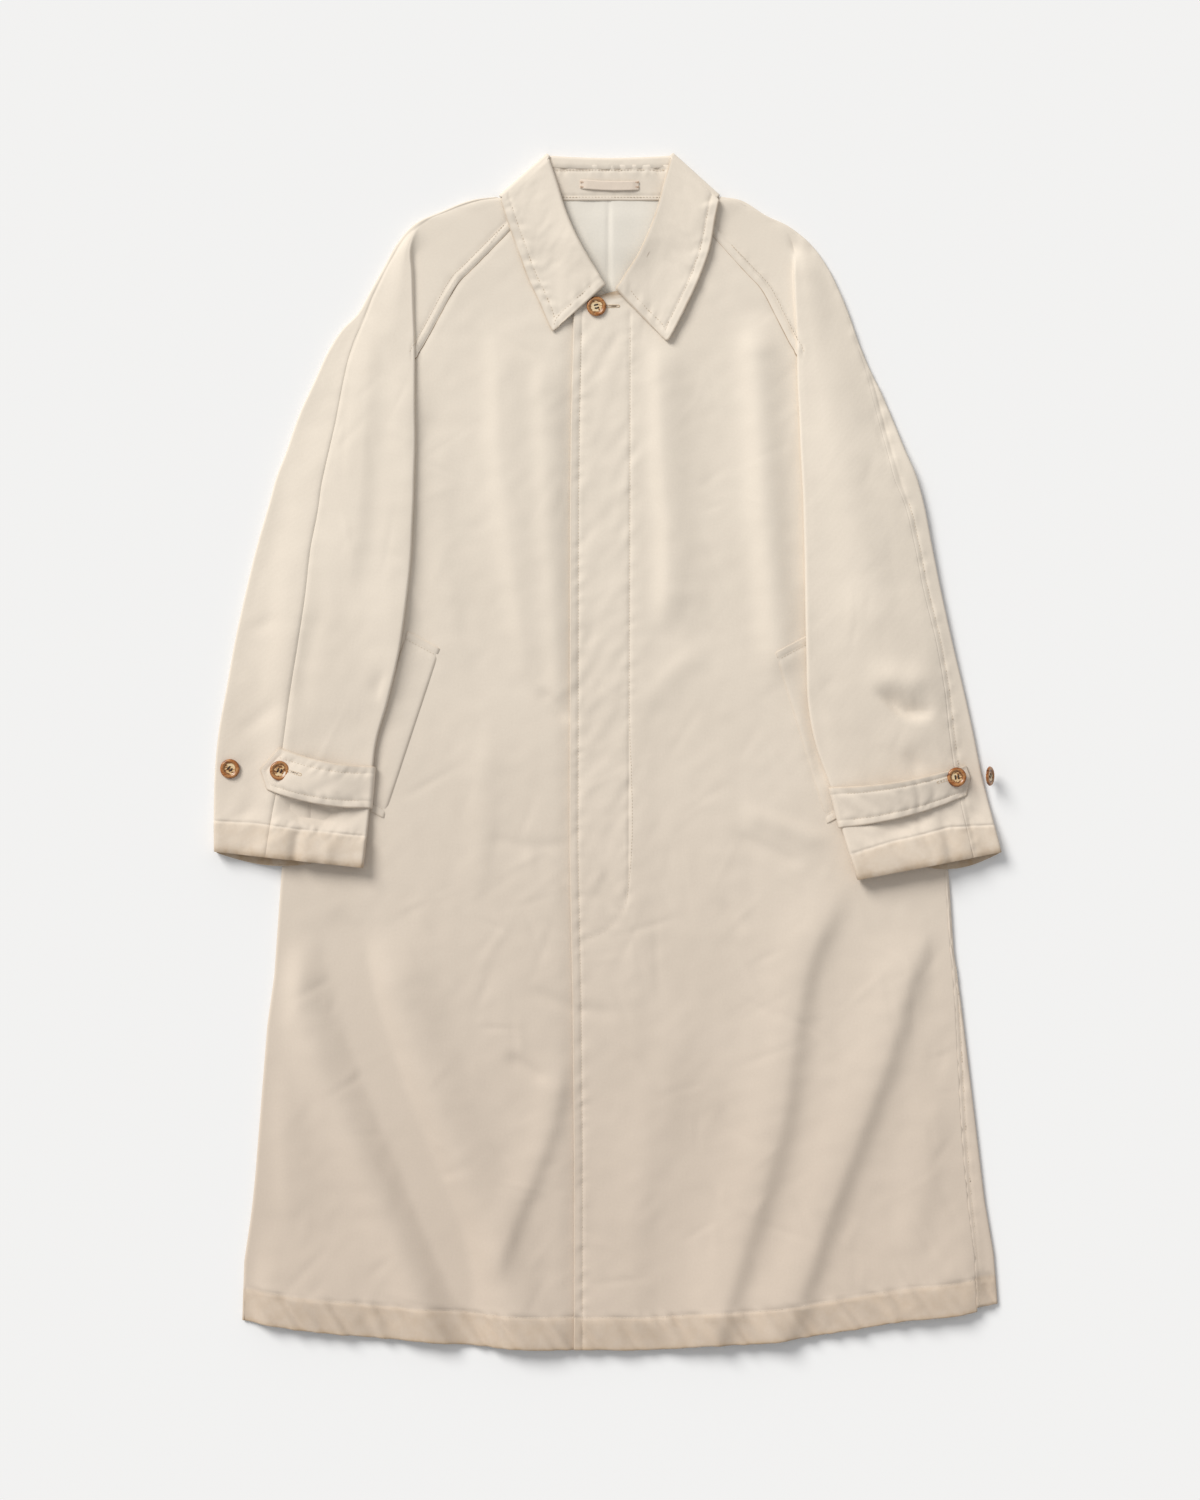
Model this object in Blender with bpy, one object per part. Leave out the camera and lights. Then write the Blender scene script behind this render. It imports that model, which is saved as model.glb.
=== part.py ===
"""Balmacaan coat laid out flat on its back, buttoned at the neck, sleeves down at its sides.

Lengths are millimetres until a mesh is made. X runs to the wearer's left, Y to the neck and
Z up from the surface that the coat lies on. "Right" and "left" are the wearer's. Tables for
a side give its distance out from the centre line, so one function makes both sides.
"""
import bpy
import bmesh
import numpy as np

MM = 0.001

# Cloth and the room between layers
CLOTH = 1.2             # a panel's wall: gabardine with its lining
COLLAR_WALL = 1.5       # two plies and interlining
TRIM_WALL = 1.0         # loop and stand
GAP = 0.3               # between touching pieces, and at seams
LAYER = CLOTH + GAP     # from one sheet's middle to the next one's
LINING_EASE = 0.35
BODY_RISE = 3.0         # from the back's middle to the front's at the side folds
BODY_LOFT = 1.2         # more of it towards the centre
SLEEVE_RISE = 3.8       # between a sleeve's two layers
DRAPE = 40.0            # over this width a sleeve comes down from the body to the surface

# Main sizes
HEM_Y = -597.0
BACK_HEM_SHORT = 3.0    # the back's hem ends this much above the front's
UNDERARM_Y = 271.0
HEM_DROP_FROM = -449.0  # below this the sections bend down to the hem's curve
FLY_X = -33.0           # front edge of the left front, which closes over the right
UNDERLAP_X = 22.5       # edge of the right front, below
WELT_LENGTH = 178.0
WELT_WIDTH = 34.5
WELT_ACROSS = 0.92      # the slanted welt's width, seen straight across the coat
BUTTON_WIDTH = 19.5
BUTTON_HEIGHT = 3.2
BUTTON_HOLE = 0.9       # radius of each of its four holes
BUTTON_HOLE_OUT = 2.1   # and how far each lies from the middle
BUTTON_ON_TAB = 1.3     # a tab is bowed, so its button stands higher
BUTTON_EASE = 0.3

# Side fold of the body: (out, y)
SIDE_EDGE = {
    "right": [(289.5, 271), (325.5, -124), (332.5, -224), (339.5, -274), (351.5, -424),
              (356.5, -474), (362.5, -524), (364.5, -597)],
    "left": [(294, 271), (340.5, -124), (345.5, -199), (352.5, -249), (364.5, -349),
             (376.5, -449), (385.5, -524), (389.5, -597)],
}
# Raglan seam from the neck to the underarm: (out, y)
ARMHOLE = {
    "right": [(66.5, 550), (97.5, 520), (151, 465), (190.5, 393), (289.5, 271)],
    "left": [(72.5, 550), (104.5, 515), (155.5, 459), (188.5, 395), (294, 271)],
}
# How far in from the side fold the side seam lies: (y, width)
SIDE_SEAM = [(271, 3.0), (-210, 3.0), (-389, 15.0), (-559, 20.0), (-597, 21.0)]
# Neckline of each front: (x, y)
NECKLINE = {
    "right": [(-65.5, 546), (-59.5, 519), (-49.5, 496), (-33.5, 476), (-17.5, 463),
              (4.5, 455), (22.5, 451)],
    "left": [(69.5, 546), (63.5, 519), (53.5, 496), (38.5, 476), (22.5, 463), (0.5, 457),
             (-22.5, 451), (-33, 448)],
}
# Hem's lower edge: (x, y)
HEM = [(-365.5, -568), (-317.5, -576), (-242.5, -584), (-167.5, -590), (-92.5, -596),
       (-7.5, -597), (44.5, -597), (97.5, -593), (157.5, -590), (201.5, -584), (257.5, -575),
       (306.5, -567), (332.5, -565), (387.5, -556)]

# A row for each section of a sleeve, from the neck to the cuff: the outer edge (out, y), the
# fold where the sleeve turns under (out, y), the raglan seam or again the fold (out, y), the
# width outside the overarm seam, and how far the front runs back below the fold: 0 where it
# ends on the raglan seam, which lies under the sleeve from SEAM_ROW on.
SLEEVE = {
    "right": [
        (112.0, 553.0, 106.0, 552.1, 70.0, 546.6, 4.5, 0),
        (133.5, 550.5, 127.5, 549.0, 80.5, 536.5, 4.5, 0),
        (167.5, 538.0, 160.5, 536.0, 97.5, 520.0, 2.5, 0),
        (192.5, 526.0, 185.5, 523.5, 116.5, 500.5, 2.5, 0),
        (209.5, 507.0, 195.5, 502.0, 137.5, 479.0, 2.5, 0),
        (222.5, 484.0, 194.5, 476.0, 151.0, 465.0, 2.5, 0),
        (236.5, 459.0, 193.5, 438.5, 171.5, 427.5, 4, 0),
        (249.5, 436.0, 192.5, 412.0, 183.5, 406.0, 9, 0),
        (264.5, 421.0, 192.5, 394.0, 190.5, 393.0, 15, 0),
        (277.5, 401.0, 192.5, 366.0, 192.5, 366.0, 21, 0),
        (291.5, 371.0, 192.5, 339.0, 192.5, 339.0, 28, 0),
        (307.5, 336.0, 192.0, 310.0, 192.0, 310.0, 37, 0),
        (321.5, 296.0, 193.0, 271.0, 193.0, 271.0, 42, 0),
        (330.5, 273.0, 193.5, 250.0, 193.5, 250.0, 46, 103),
        (336.5, 251.0, 194.5, 229.0, 194.5, 229.0, 49, 103),
        (349.5, 206.0, 196.5, 189.0, 196.5, 189.0, 53.5, 100),
        (360.5, 161.0, 201.5, 143.0, 201.5, 143.0, 59.5, 94.5),
        (371.5, 111.0, 208.5, 96.0, 208.5, 96.0, 63, 88),
        (380.5, 61.0, 219.5, 49.0, 219.5, 49.0, 64, 77),
        (388.5, 16.0, 231.5, 6.0, 231.5, 6.0, 66, 65),
        (392.0, -24.0, 236.0, -39.0, 236.0, -39.0, 64, 60),
        (392.8, -64.0, 239.5, -78.0, 239.5, -78.0, 57.6, 57),
        (392.3, -100.0, 243.5, -116.0, 243.5, -116.0, 52.2, 53)],
    "left": [
        (114.0, 553.0, 108.0, 552.0, 76.0, 546.2, 4.5, 0),
        (132.5, 550.0, 126.5, 548.5, 86.5, 534.5, 4.5, 0),
        (157.5, 535.0, 151.5, 533.0, 104.5, 515.0, 2.5, 0),
        (180.5, 524.0, 174.5, 521.5, 123.5, 494.0, 2.5, 0),
        (204.5, 504.0, 185.5, 497.0, 140.5, 475.5, 2.5, 0),
        (219.5, 483.0, 186.0, 472.0, 155.5, 459.0, 2.5, 0),
        (230.5, 461.0, 187.5, 441.0, 171.5, 428.0, 2.5, 0),
        (240.5, 437.0, 189.0, 415.0, 182.0, 407.5, 2.5, 0),
        (249.5, 411.0, 189.5, 395.0, 188.5, 395.0, 2.5, 0),
        (259.5, 386.0, 190.0, 366.0, 190.0, 366.0, 3.5, 0),
        (272.5, 359.0, 191.5, 339.0, 191.5, 339.0, 9, 0),
        (285.5, 329.0, 192.5, 310.0, 192.5, 310.0, 14, 0),
        (297.5, 299.0, 194.5, 271.0, 194.5, 271.0, 18, 0),
        (307.5, 276.0, 195.5, 250.0, 195.5, 250.0, 22, 106),
        (314.5, 251.0, 196.0, 229.0, 196.0, 229.0, 19, 106),
        (323.5, 206.0, 197.0, 189.0, 197.0, 189.0, 17, 108.5),
        (332.5, 161.0, 197.5, 143.0, 197.5, 143.0, 17, 112.5),
        (343.5, 111.0, 198.5, 96.0, 198.5, 96.0, 16, 115),
        (355.5, 61.0, 200.5, 47.0, 200.5, 47.0, 19, 115),
        (365.5, 16.0, 208.5, 5.0, 208.5, 5.0, 24, 110),
        (373.5, -24.0, 224.5, -41.0, 224.5, -41.0, 26, 93),
        (383.5, -64.0, 235.5, -83.0, 235.5, -83.0, 28, 84),
        (392.8, -100.5, 249.0, -128.0, 249.0, -128.0, 29, 73)],
}
SEAM_ROW = 8            # from this section on the raglan seam lies under the sleeve
STEP_TOP = {"right": 516.0, "left": 500.0}   # the sleeve's fold starts here
STEP_FULL = 394.0       # and stands at its full height here

# Largest folds of the skirt and chest, as soft ridges: (x, y, x, y, width, height)
FOLDS = [
    (195, -185, 128, -450, 34, 4.5),
    (128, -450, 88, -575, 34, 5.0),
    (300, -175, 240, -360, 30, 4.0),
    (240, -360, 180, -560, 32, 5.0),
    (318, -240, 268, -560, 26, 3.0),
    (-285, -175, -225, -320, 30, 3.0),
    (-225, -320, -120, -565, 32, 4.5),
    (-330, -300, -260, -575, 36, 2.5),
    (-66, -350, -98, -570, 24, 2.5),
    (55, 400, 60, 190, 22, 2.0),
    (115, 420, 150, 200, 24, 2.0),
    (-150, 330, -158, 60, 30, 2.0),
    (-75, 420, -60, 120, 26, 1.8),
    (130, -20, 215, -90, 24, 2.5),
]

# Collar fall from its front edge round to the back: roll line (out, y), outer edge (out, y)
COLLAR_FRONT = {
    "right": [(2.5, 465, 54.5, 419), (17.5, 489, 66.5, 445), (32.5, 516, 79.5, 473),
              (43.5, 543, 89.5, 501), (50.5, 566, 99.5, 529), (58.5, 590, 105.5, 548)],
    "left": [(8.5, 461, 59.5, 410), (29.5, 493, 82.5, 453), (40.5, 516, 94.5, 481),
             (50.5, 543, 102.5, 506), (56.5, 566, 106.5, 529), (63.5, 590, 110.5, 548)],
}
COLLAR_PEAK = {"right": (60.5, 596.0, 107.5, 555.0), "left": (65.5, 596.5, 111.5, 555.0)}
COLLAR_TURN = 3.8       # radius where it turns over at the shoulders
COLLAR_BACK_TOP = 591.4
COLLAR_BACK_LOW = 513.0
COLLAR_BACK_BOW = 42.0
COLLAR_BACK_HALF = 110.0
COLLAR_EASE = 0.9       # the fall doesn't cling to what it lies on
COLLAR_RAMP = (38.0, 30.0)   # below the fall's edge a sheet starts to rise, over this length
ROLL_RISE = 5.0
ROLL_TURN = 2.2
ROLL_TUCK = (8.0, 4.0)  # how far the cloth runs back inside the roll
BACK_ROLL_TURN = 2.6
BACK_ROLL_TUCK_Y = (584.5, 588.0)
BACK_ROLL_X = (-52.0, -40.0, -20.0, 0.0, 20.0, 40.0, 57.0)
BACK_EDGE_X = (-92.0, -66.0, -33.0, 0.0, 33.0, 66.0, 96.0)

# Collar stand and lining behind the neck
STAND_X = (-54.5, 60.0)
STAND_Y = (584.1, 550.4)
STAND_LOW = 2.6         # its middle at the neck seam
STAND_FLARE = 0.06
LINING_Y = (549.8, 405.0)
LINING_X = 3.0          # middle of the lining
LINING_HALF = (58.0, 12.0)   # half its width at the neck, and what it gains below
PLEAT_X = 4.0
PLEAT_WIDTH = 9.0
PLEAT_HEIGHT = 0.9

# Pocket mouths: inner top corner and inner foot of the welt (out, y)
POCKET = {"right": (167.5, 102.0, 224.0, -69.0), "left": (167.5, 98.0, 217.5, -66.0)}
POCKET_TOP_SLOPE = 17.0

# Cuff tabs: the pointed end and the three corners (out, y), and how high they stand off
TAB = {
    "right": {"tip": (346.5, -18), "top": (326.5, 3), "low": (339.5, -38),
              "top_fold": (229.0, -17), "low_fold": (235.0, -57), "dome": 3.0},
    "left": {"tip": (361.5, -25.5), "top": (357.5, -15), "low": (357.5, -44),
             "top_fold": (222.0, -37), "low_fold": (233.0, -76), "dome": 3.0},
}
TAB_SAG = 5.0           # the tabs' edges bow towards the cuff

CUFF_BUTTONS = {
    "right": [(376.9, -17.8), (326.5, -19.6)],
    "left": [(347.5, -26.0), (378.0, -25.0)],
}
FRONT_BUTTON = (-10.0, 442.0)
LOOP_ENDS = (-27.0, 31.0)
LOOP_Y = (566.0, 564.5)
LOOP_HALF = 4.0
LOOP_PROUD = 1.8        # the strap stands off the stand between its ends

CLOTH_COLOUR = (0.68, 0.60, 0.51, 1.0)
COLLAR_COLOUR = (0.72, 0.64, 0.55, 1.0)
LINING_COLOUR = (0.79, 0.75, 0.69, 1.0)
LOOP_COLOUR = (0.76, 0.62, 0.53, 1.0)
HORN_COLOUR = (0.30, 0.16, 0.08, 1.0)
SIGN = {"right": -1.0, "left": 1.0}


def soft(t):
    """Goes from 0 to 1 with level ends."""
    t = np.clip(t, 0.0, 1.0)
    return t * t * (3.0 - 2.0 * t)


def out_at(table, y):
    """Reads a table of (out, y), given from the top down, at height y."""
    rows = np.array(table, float)[::-1]
    return np.interp(y, rows[:, 1], rows[:, 0])


def side_seam(y):
    rows = np.array(SIDE_SEAM, float)[::-1]
    return np.interp(y, rows[:, 0], rows[:, 1])


def hem_y(x):
    rows = np.array(HEM, float)
    return np.interp(x, rows[:, 0], rows[:, 1])


def collar_low_y(x):
    """Lower edge of the collar's fall behind the neck."""
    return COLLAR_BACK_LOW + COLLAR_BACK_BOW * (x / COLLAR_BACK_HALF) ** 2


def floor_mid(x, y):
    """Middle of a sheet that lies on the surface, and over the collar's back fall."""
    over = soft((y - collar_low_y(x) + COLLAR_RAMP[0]) / COLLAR_RAMP[1])
    return CLOTH / 2 + over * (COLLAR_WALL + GAP)


def ridges(x, y):
    """Sum of the folds: a bell across each line, fading at its ends."""
    total = np.zeros(np.broadcast(x, y).shape)
    for x0, y0, x1, y1, width, height in FOLDS:
        length = np.hypot(x1 - x0, y1 - y0)
        ux, uy = (x1 - x0) / length, (y1 - y0) / length
        along = (x - x0) * ux + (y - y0) * uy
        across = (x - x0) * uy - (y - y0) * ux
        ends = soft((along + width) / (2 * width)) * soft((length + width - along) / (2 * width))
        total = total + height * ends * np.exp(-((across / (0.55 * width)) ** 2))
    return total


def front_mid(x, y):
    """Middle of the fronts, without the overlap at the fly."""
    right = out_at(SIDE_EDGE["right"], y) + x
    left = out_at(SIDE_EDGE["left"], y) - x
    inside = np.maximum(np.minimum(right, left), 0.0)
    loft = BODY_LOFT * soft(inside / 120.0)
    return floor_mid(x, y) + BODY_RISE + loft + ridges(x, y) * soft(inside / 30.0)


def fly_lift(x):
    """The left front lies on the right one as far as the underlap goes."""
    return LAYER * (1.0 - soft((x - UNDERLAP_X - 1.0) / 30.0))


def sleeve_rows(side):
    return np.array(SLEEVE[side], float)


def pocket_lift(y):
    """The sleeve lies on the pocket's welt from here down."""
    return (LAYER + GAP) * soft((175.0 - y) / 45.0)


def on_body(side, out, y):
    """1 over the body, falling to 0 beyond its side fold."""
    beyond = out - out_at(SIDE_EDGE[side], y)
    return soft(1.0 - (beyond - 1.5) / DRAPE)


def over_front(side, out, y):
    """Middle of a sheet that lies on the front, and beside it comes down to the surface."""
    x = SIGN[side] * out
    ground = floor_mid(x, y)
    level = front_mid(x, y) + LAYER + pocket_lift(y)
    return ground + on_body(side, out, y) * (level - ground)


def sleeve_low(side, out, y):
    """Middle of the sleeve back's lower layer: on the surface down to the underarm."""
    ground = floor_mid(SIGN[side] * out, y)
    reach = soft((UNDERARM_Y + 6.0 - y) / 26.0)
    return ground + reach * (over_front(side, out, y) - ground)


def sleeve_top(side, out, y):
    """Middle of a sleeve's upper layer: a yoke, then a step up where the sleeve folds over."""
    rows = sleeve_rows(side)[::-1]
    edge = np.interp(y, rows[:, 1], rows[:, 0])
    fold = np.interp(y, rows[:, 3], rows[:, 2])
    share = soft((edge - out) / np.maximum(edge - fold, 1.0) / 0.75)
    x = SIGN[side] * out
    step = (LAYER + SLEEVE_RISE) * soft((STEP_TOP[side] - y) / (STEP_TOP[side] - STEP_FULL))
    outer = floor_mid(x, y) + SLEEVE_RISE
    upper = outer + share * (front_mid(x, y) + step - outer)
    lower = over_front(side, out, y) + SLEEVE_RISE
    return upper + soft((UNDERARM_Y + 60.0 - y) / 60.0) * (lower - upper)


def seam_room(t):
    """Half the gap at the overarm seam, wider at the neck where the sections run along it."""
    return np.where(np.arange(len(t)) < 2, 4 * GAP, GAP / 2)


def section_ends(side):
    """Where each section of a sleeve ends below: the raglan seam, then the underarm seam."""
    t = sleeve_rows(side)
    outer, fold, end = t[:, 0:2], t[:, 2:4], t[:, 4:6]
    back_way = (outer - fold) / np.linalg.norm(outer - fold, axis=1, keepdims=True)
    start, stop = (np.array(p, float) for p in ARMHOLE[side][-2:])
    along = stop - start
    cross = back_way[:, 0] * along[1] - back_way[:, 1] * along[0]
    reach = ((start - fold)[:, 0] * along[1] - (start - fold)[:, 1] * along[0]) / cross
    under = np.arange(len(t)) > SEAM_ROW
    width = np.where(t[:, 7] > 0, t[:, 7], reach)
    return t, outer, fold, end, back_way, under, width


def material(name, colour, roughness):
    mat = bpy.data.materials.new(name)
    mat.use_nodes = True
    shader = mat.node_tree.nodes["Principled BSDF"]
    shader.inputs["Base Color"].default_value = colour
    shader.inputs["Roughness"].default_value = roughness
    shader.inputs["Metallic"].default_value = 0.0
    return mat


def add_object(name, points, faces, mat):
    """Makes an object of points in millimetres, with its faces turned outwards."""
    mesh = bpy.data.meshes.new(name)
    mesh.from_pydata([tuple(p) for p in np.asarray(points) * MM], [], faces)
    shape = bmesh.new()
    shape.from_mesh(mesh)
    bmesh.ops.recalc_face_normals(shape, faces=shape.faces[:])
    shape.to_mesh(mesh)
    shape.free()
    mesh.materials.append(mat)
    mesh.shade_smooth()
    mesh.set_sharp_from_angle(angle=0.7)
    obj = bpy.data.objects.new(name, mesh)
    bpy.context.scene.collection.objects.link(obj)
    return obj


def normals_of(grid):
    down = np.gradient(grid, axis=0)
    along = np.gradient(grid, axis=1)
    normal = np.cross(down, along)
    return normal / np.maximum(np.linalg.norm(normal, axis=2, keepdims=True), 1e-9)


def wall(name, grid, thickness, mat, keep=None):
    """Closed wall round a sheet of points [row, column]; keep says which cells are cloth."""
    rows, columns = grid.shape[:2]
    if keep is None:
        keep = np.ones((rows - 1, columns - 1), bool)
    offset = normals_of(grid) * thickness / 2
    number = np.arange(rows * columns).reshape(rows, columns)
    count = rows * columns
    faces = []
    edges = {}
    for r, c in zip(*np.nonzero(keep)):
        ring = [number[r, c], number[r, c + 1], number[r + 1, c + 1], number[r + 1, c]]
        faces.append([int(v) for v in ring])
        faces.append([int(v) + count for v in reversed(ring)])
        for a, b in zip(ring, ring[1:] + ring[:1]):
            if (b, a) in edges:
                del edges[(b, a)]
            else:
                edges[(a, b)] = True
    for a, b in edges:
        faces.append([int(b), int(a), int(a) + count, int(b) + count])
    points = np.concatenate([(grid + offset).reshape(-1, 3), (grid - offset).reshape(-1, 3)])
    used = sorted({v for face in faces for v in face})
    place = {old: new for new, old in enumerate(used)}
    return add_object(name, points[used], [[place[v] for v in face] for face in faces], mat)


def hemmed(x, y, short=0.0):
    """Bends the lowest sections down to the hem's curve."""
    share = np.clip((HEM_DROP_FROM - y) / (HEM_DROP_FROM - HEM_Y), 0.0, 1.0)
    return y + share * (hem_y(x) + short - HEM_Y)


def lines(start, end, count):
    """count points from start to end, along a new last axis."""
    t = np.linspace(0.0, 1.0, count)
    return start[..., None] * (1.0 - t) + end[..., None] * t


BODY_ROWS = [546, 533, 508, 486, 425, 350, 310, 225, 170, 110, 50, -10, -70, -125, -175, -220,
             -265, -310, -357, -403, -449, -486, -523, -560, -597]


def row_heights(extra, top):
    """Section heights of a body panel, with the corners of its own outline."""
    values = sorted({float(v) for v in BODY_ROWS} | {float(v) for v in extra}, reverse=True)
    kept = [v for v in values if v <= top]
    thin = [kept[0]]
    for v in kept[1:]:
        if thin[-1] - v >= 6.0 or v in extra:
            thin.append(v)
    return np.array(thin)


def turn(out_edge, low, high, count):
    """Half round from a lower to an upper sheet, bulging to out_edge."""
    t = np.linspace(-np.pi / 2, np.pi / 2, count)
    radius = (high - low) / 2
    out = out_edge[:, None] - radius[:, None] + radius[:, None] * np.cos(t)
    z = (high + low)[:, None] / 2 + radius[:, None] * np.sin(t)
    return out, z


def body_outline(side, y):
    """Outer line of a body panel: the raglan seam, then the side fold."""
    return np.where(y > UNDERARM_Y, out_at(ARMHOLE[side], y), out_at(SIDE_EDGE[side], y))


def back(mat):
    """One sheet on the surface, which turns up over the left side fold to the side seam."""
    corners = [v for side in ("right", "left") for _, v in ARMHOLE[side]]
    y = row_heights(corners, 550.0)
    low = y <= UNDERARM_Y
    base = np.full(y.shape, CLOTH / 2)
    start = -(body_outline("right", y) - GAP)
    start = np.where(low, start + side_seam(y) + GAP / 2, start)
    fold = out_at(SIDE_EDGE["left"], y)
    stop = np.where(low, fold - BODY_RISE / 2, out_at(ARMHOLE["left"], y) - GAP)
    flat_x = lines(start, stop, 10)
    flat = floor_mid(flat_x, y[:, None])
    bend_x, bend_z = turn(fold, base, base + BODY_RISE, 5)
    strip_x = lines(fold - BODY_RISE / 2, fold - side_seam(y) + GAP / 2, 3)[:, 1:]
    strip_z = np.maximum(front_mid(strip_x, y[:, None]), CLOTH / 2 + BODY_RISE)
    x = np.concatenate([flat_x, bend_x[:, 1:], strip_x], axis=1)
    z = np.concatenate([flat, bend_z[:, 1:], strip_z], axis=1)
    yy = hemmed(x, np.broadcast_to(y[:, None], x.shape), short=BACK_HEM_SHORT)
    keep = np.ones((len(y) - 1, x.shape[1] - 1), bool)
    keep[:, flat_x.shape[1] - 1:] = low[:-1, None]
    return wall("back", np.stack([x, yy, z], axis=2), CLOTH, mat, keep)


def front_right(mat):
    """From below the side fold, over it and across to the underlap below the fly."""
    corners = [v for _, v in ARMHOLE["right"]] + [v for _, v in NECKLINE["right"]]
    y = row_heights(corners, 546.0)
    low = y <= UNDERARM_Y
    neck = np.array(NECKLINE["right"], float)[::-1]
    edge = np.where(y > neck[0, 1], np.interp(y, neck[:, 1], neck[:, 0]), UNDERLAP_X)
    fold = out_at(SIDE_EDGE["right"], y)
    base = np.full(y.shape, CLOTH / 2)
    under_x = -lines(fold - side_seam(y) - GAP / 2, fold - BODY_RISE / 2, 3)[:, :-1]
    under_z = np.full(under_x.shape, CLOTH / 2)
    bend_out, bend_z = turn(fold, base, base + BODY_RISE, 5)
    start = np.where(low, -(fold - BODY_RISE / 2), -(out_at(ARMHOLE["right"], y) - GAP))
    top_x = lines(start, edge, 15)
    top_z = front_mid(top_x, y[:, None])
    x = np.concatenate([under_x, -bend_out[:, :-1], top_x], axis=1)
    z = np.concatenate([under_z, bend_z[:, :-1], top_z], axis=1)
    yy = hemmed(x, np.broadcast_to(y[:, None], x.shape))
    keep = np.ones((len(y) - 1, x.shape[1] - 1), bool)
    keep[:, :x.shape[1] - top_x.shape[1]] = low[:-1, None]
    return wall("front_right", np.stack([x, yy, z], axis=2), CLOTH, mat, keep)


def front_left(mat):
    """From the fly edge across to the side seam, over the right front's underlap."""
    corners = [v for _, v in ARMHOLE["left"]] + [v for _, v in NECKLINE["left"]]
    y = row_heights(corners, 546.0)
    neck = np.array(NECKLINE["left"], float)[::-1]
    edge = np.where(y > neck[0, 1], np.interp(y, neck[:, 1], neck[:, 0]), FLY_X)
    seam = out_at(SIDE_EDGE["left"], y) - side_seam(y) - GAP / 2
    stop = np.where(y > UNDERARM_Y, out_at(ARMHOLE["left"], y) - GAP, seam)
    x = lines(edge, stop, 17)
    z = front_mid(x, y[:, None]) + fly_lift(x)
    yy = hemmed(x, np.broadcast_to(y[:, None], x.shape))
    return wall("front_left", np.stack([x, yy, z], axis=2), CLOTH, mat)


def sleeve_front(side, mat):
    """Overarm seam, across the top, round the fold and back below to the underarm seam."""
    t, outer, fold, end, back_way, under, width = section_ends(side)
    across = (end - outer) / np.linalg.norm(end - outer, axis=1, keepdims=True)
    seam = outer + across * (t[:, 6] + seam_room(t))[:, None]
    stop = np.where(under[:, None], fold + back_way * (width - GAP / 2)[:, None],
                    end - across * GAP / 2)
    radius = SLEEVE_RISE / 2
    first = fold + back_way * radius
    top = lines(seam, first, 7).transpose(0, 2, 1)
    turned = soft((np.arange(len(t)) - SEAM_ROW + 1.2) / 1.2)[:, None]
    last = first * turned + (fold + (stop - fold) * 0.3) * (1 - turned)
    low_line = lines(last, stop, 4).transpose(0, 2, 1)
    top_z = sleeve_top(side, top[..., 0], top[..., 1])
    on_front = over_front(side, low_line[..., 0], low_line[..., 1])
    near = front_mid(SIGN[side] * low_line[..., 0], low_line[..., 1])
    rise = soft((np.arange(len(t)) - 4) / (SEAM_ROW - 4))[:, None] * LAYER
    low_z = np.where(under[:, None], on_front, near + rise)
    high, low = top_z[:, -1], low_z[:, 0]
    s = np.linspace(0.0, 1.0, 6)[1:-1]
    bulge = fold + (fold - first) * (0.33 * turned)
    weights = [(1 - s) ** 3, 3 * s * (1 - s) ** 2, 3 * s * s * (1 - s), s ** 3]
    plan = (first[:, None] * weights[0][None, :, None] + last[:, None] * weights[3][None, :, None]
            + bulge[:, None] * (weights[1] + weights[2])[None, :, None])
    bend_z = (high[:, None] * (weights[0] + weights[1]) + low[:, None] * (weights[2] + weights[3]))
    flat = np.concatenate([top, plan, low_line], axis=1)
    z = np.concatenate([top_z, bend_z, low_z], axis=1)
    grid = np.stack([SIGN[side] * flat[..., 0], flat[..., 1], z], axis=2)
    return wall("sleeve_%s_front" % side, grid, CLOTH, mat)


def sleeve_back(side, mat):
    """Outer strip on top, round the outer edge and in below to the back raglan seam."""
    t, outer, fold, end, back_way, under, width = section_ends(side)
    across = (end - outer) / np.linalg.norm(end - outer, axis=1, keepdims=True)
    stop = np.where(under[:, None], fold + back_way * (width + GAP / 2)[:, None],
                    end - across * GAP / 2)
    radius = SLEEVE_RISE / 2
    seam = outer + across * (t[:, 6] - seam_room(t))[:, None]
    first = outer + across * radius
    strip = lines(seam, first, 5).transpose(0, 2, 1)
    low_line = lines(first, stop, 6).transpose(0, 2, 1)
    strip_z = sleeve_top(side, strip[..., 0], strip[..., 1])
    low_z = sleeve_low(side, low_line[..., 0], low_line[..., 1])
    angle = np.linspace(np.pi / 2, -np.pi / 2, 6)[1:-1]
    plan = first[:, None] - across[:, None] * (radius * np.cos(angle))[None, :, None]
    high, low = strip_z[:, -1], low_z[:, 0]
    bend_z = (high + low)[:, None] / 2 + (high - low)[:, None] / 2 * np.sin(angle)
    flat = np.concatenate([strip, plan, low_line], axis=1)
    z = np.concatenate([strip_z, bend_z, low_z], axis=1)
    grid = np.stack([SIGN[side] * flat[..., 0], flat[..., 1], z], axis=2)
    return wall("sleeve_%s_back" % side, grid, CLOTH, mat)


def on_fronts(x, y):
    """Middle of the collar where it lies on the fronts and the yokes."""
    overlap = LAYER * soft((x - FLY_X + 22.0) / 18.0) * (1.0 - soft((x - UNDERLAP_X - 1.0) / 30.0))
    high_up = soft((y - 500.0) / 30.0)
    room = CLOTH / 2 + GAP + COLLAR_WALL / 2 + COLLAR_EASE
    return front_mid(x, y) + overlap * (1.0 - high_up) + room


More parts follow.
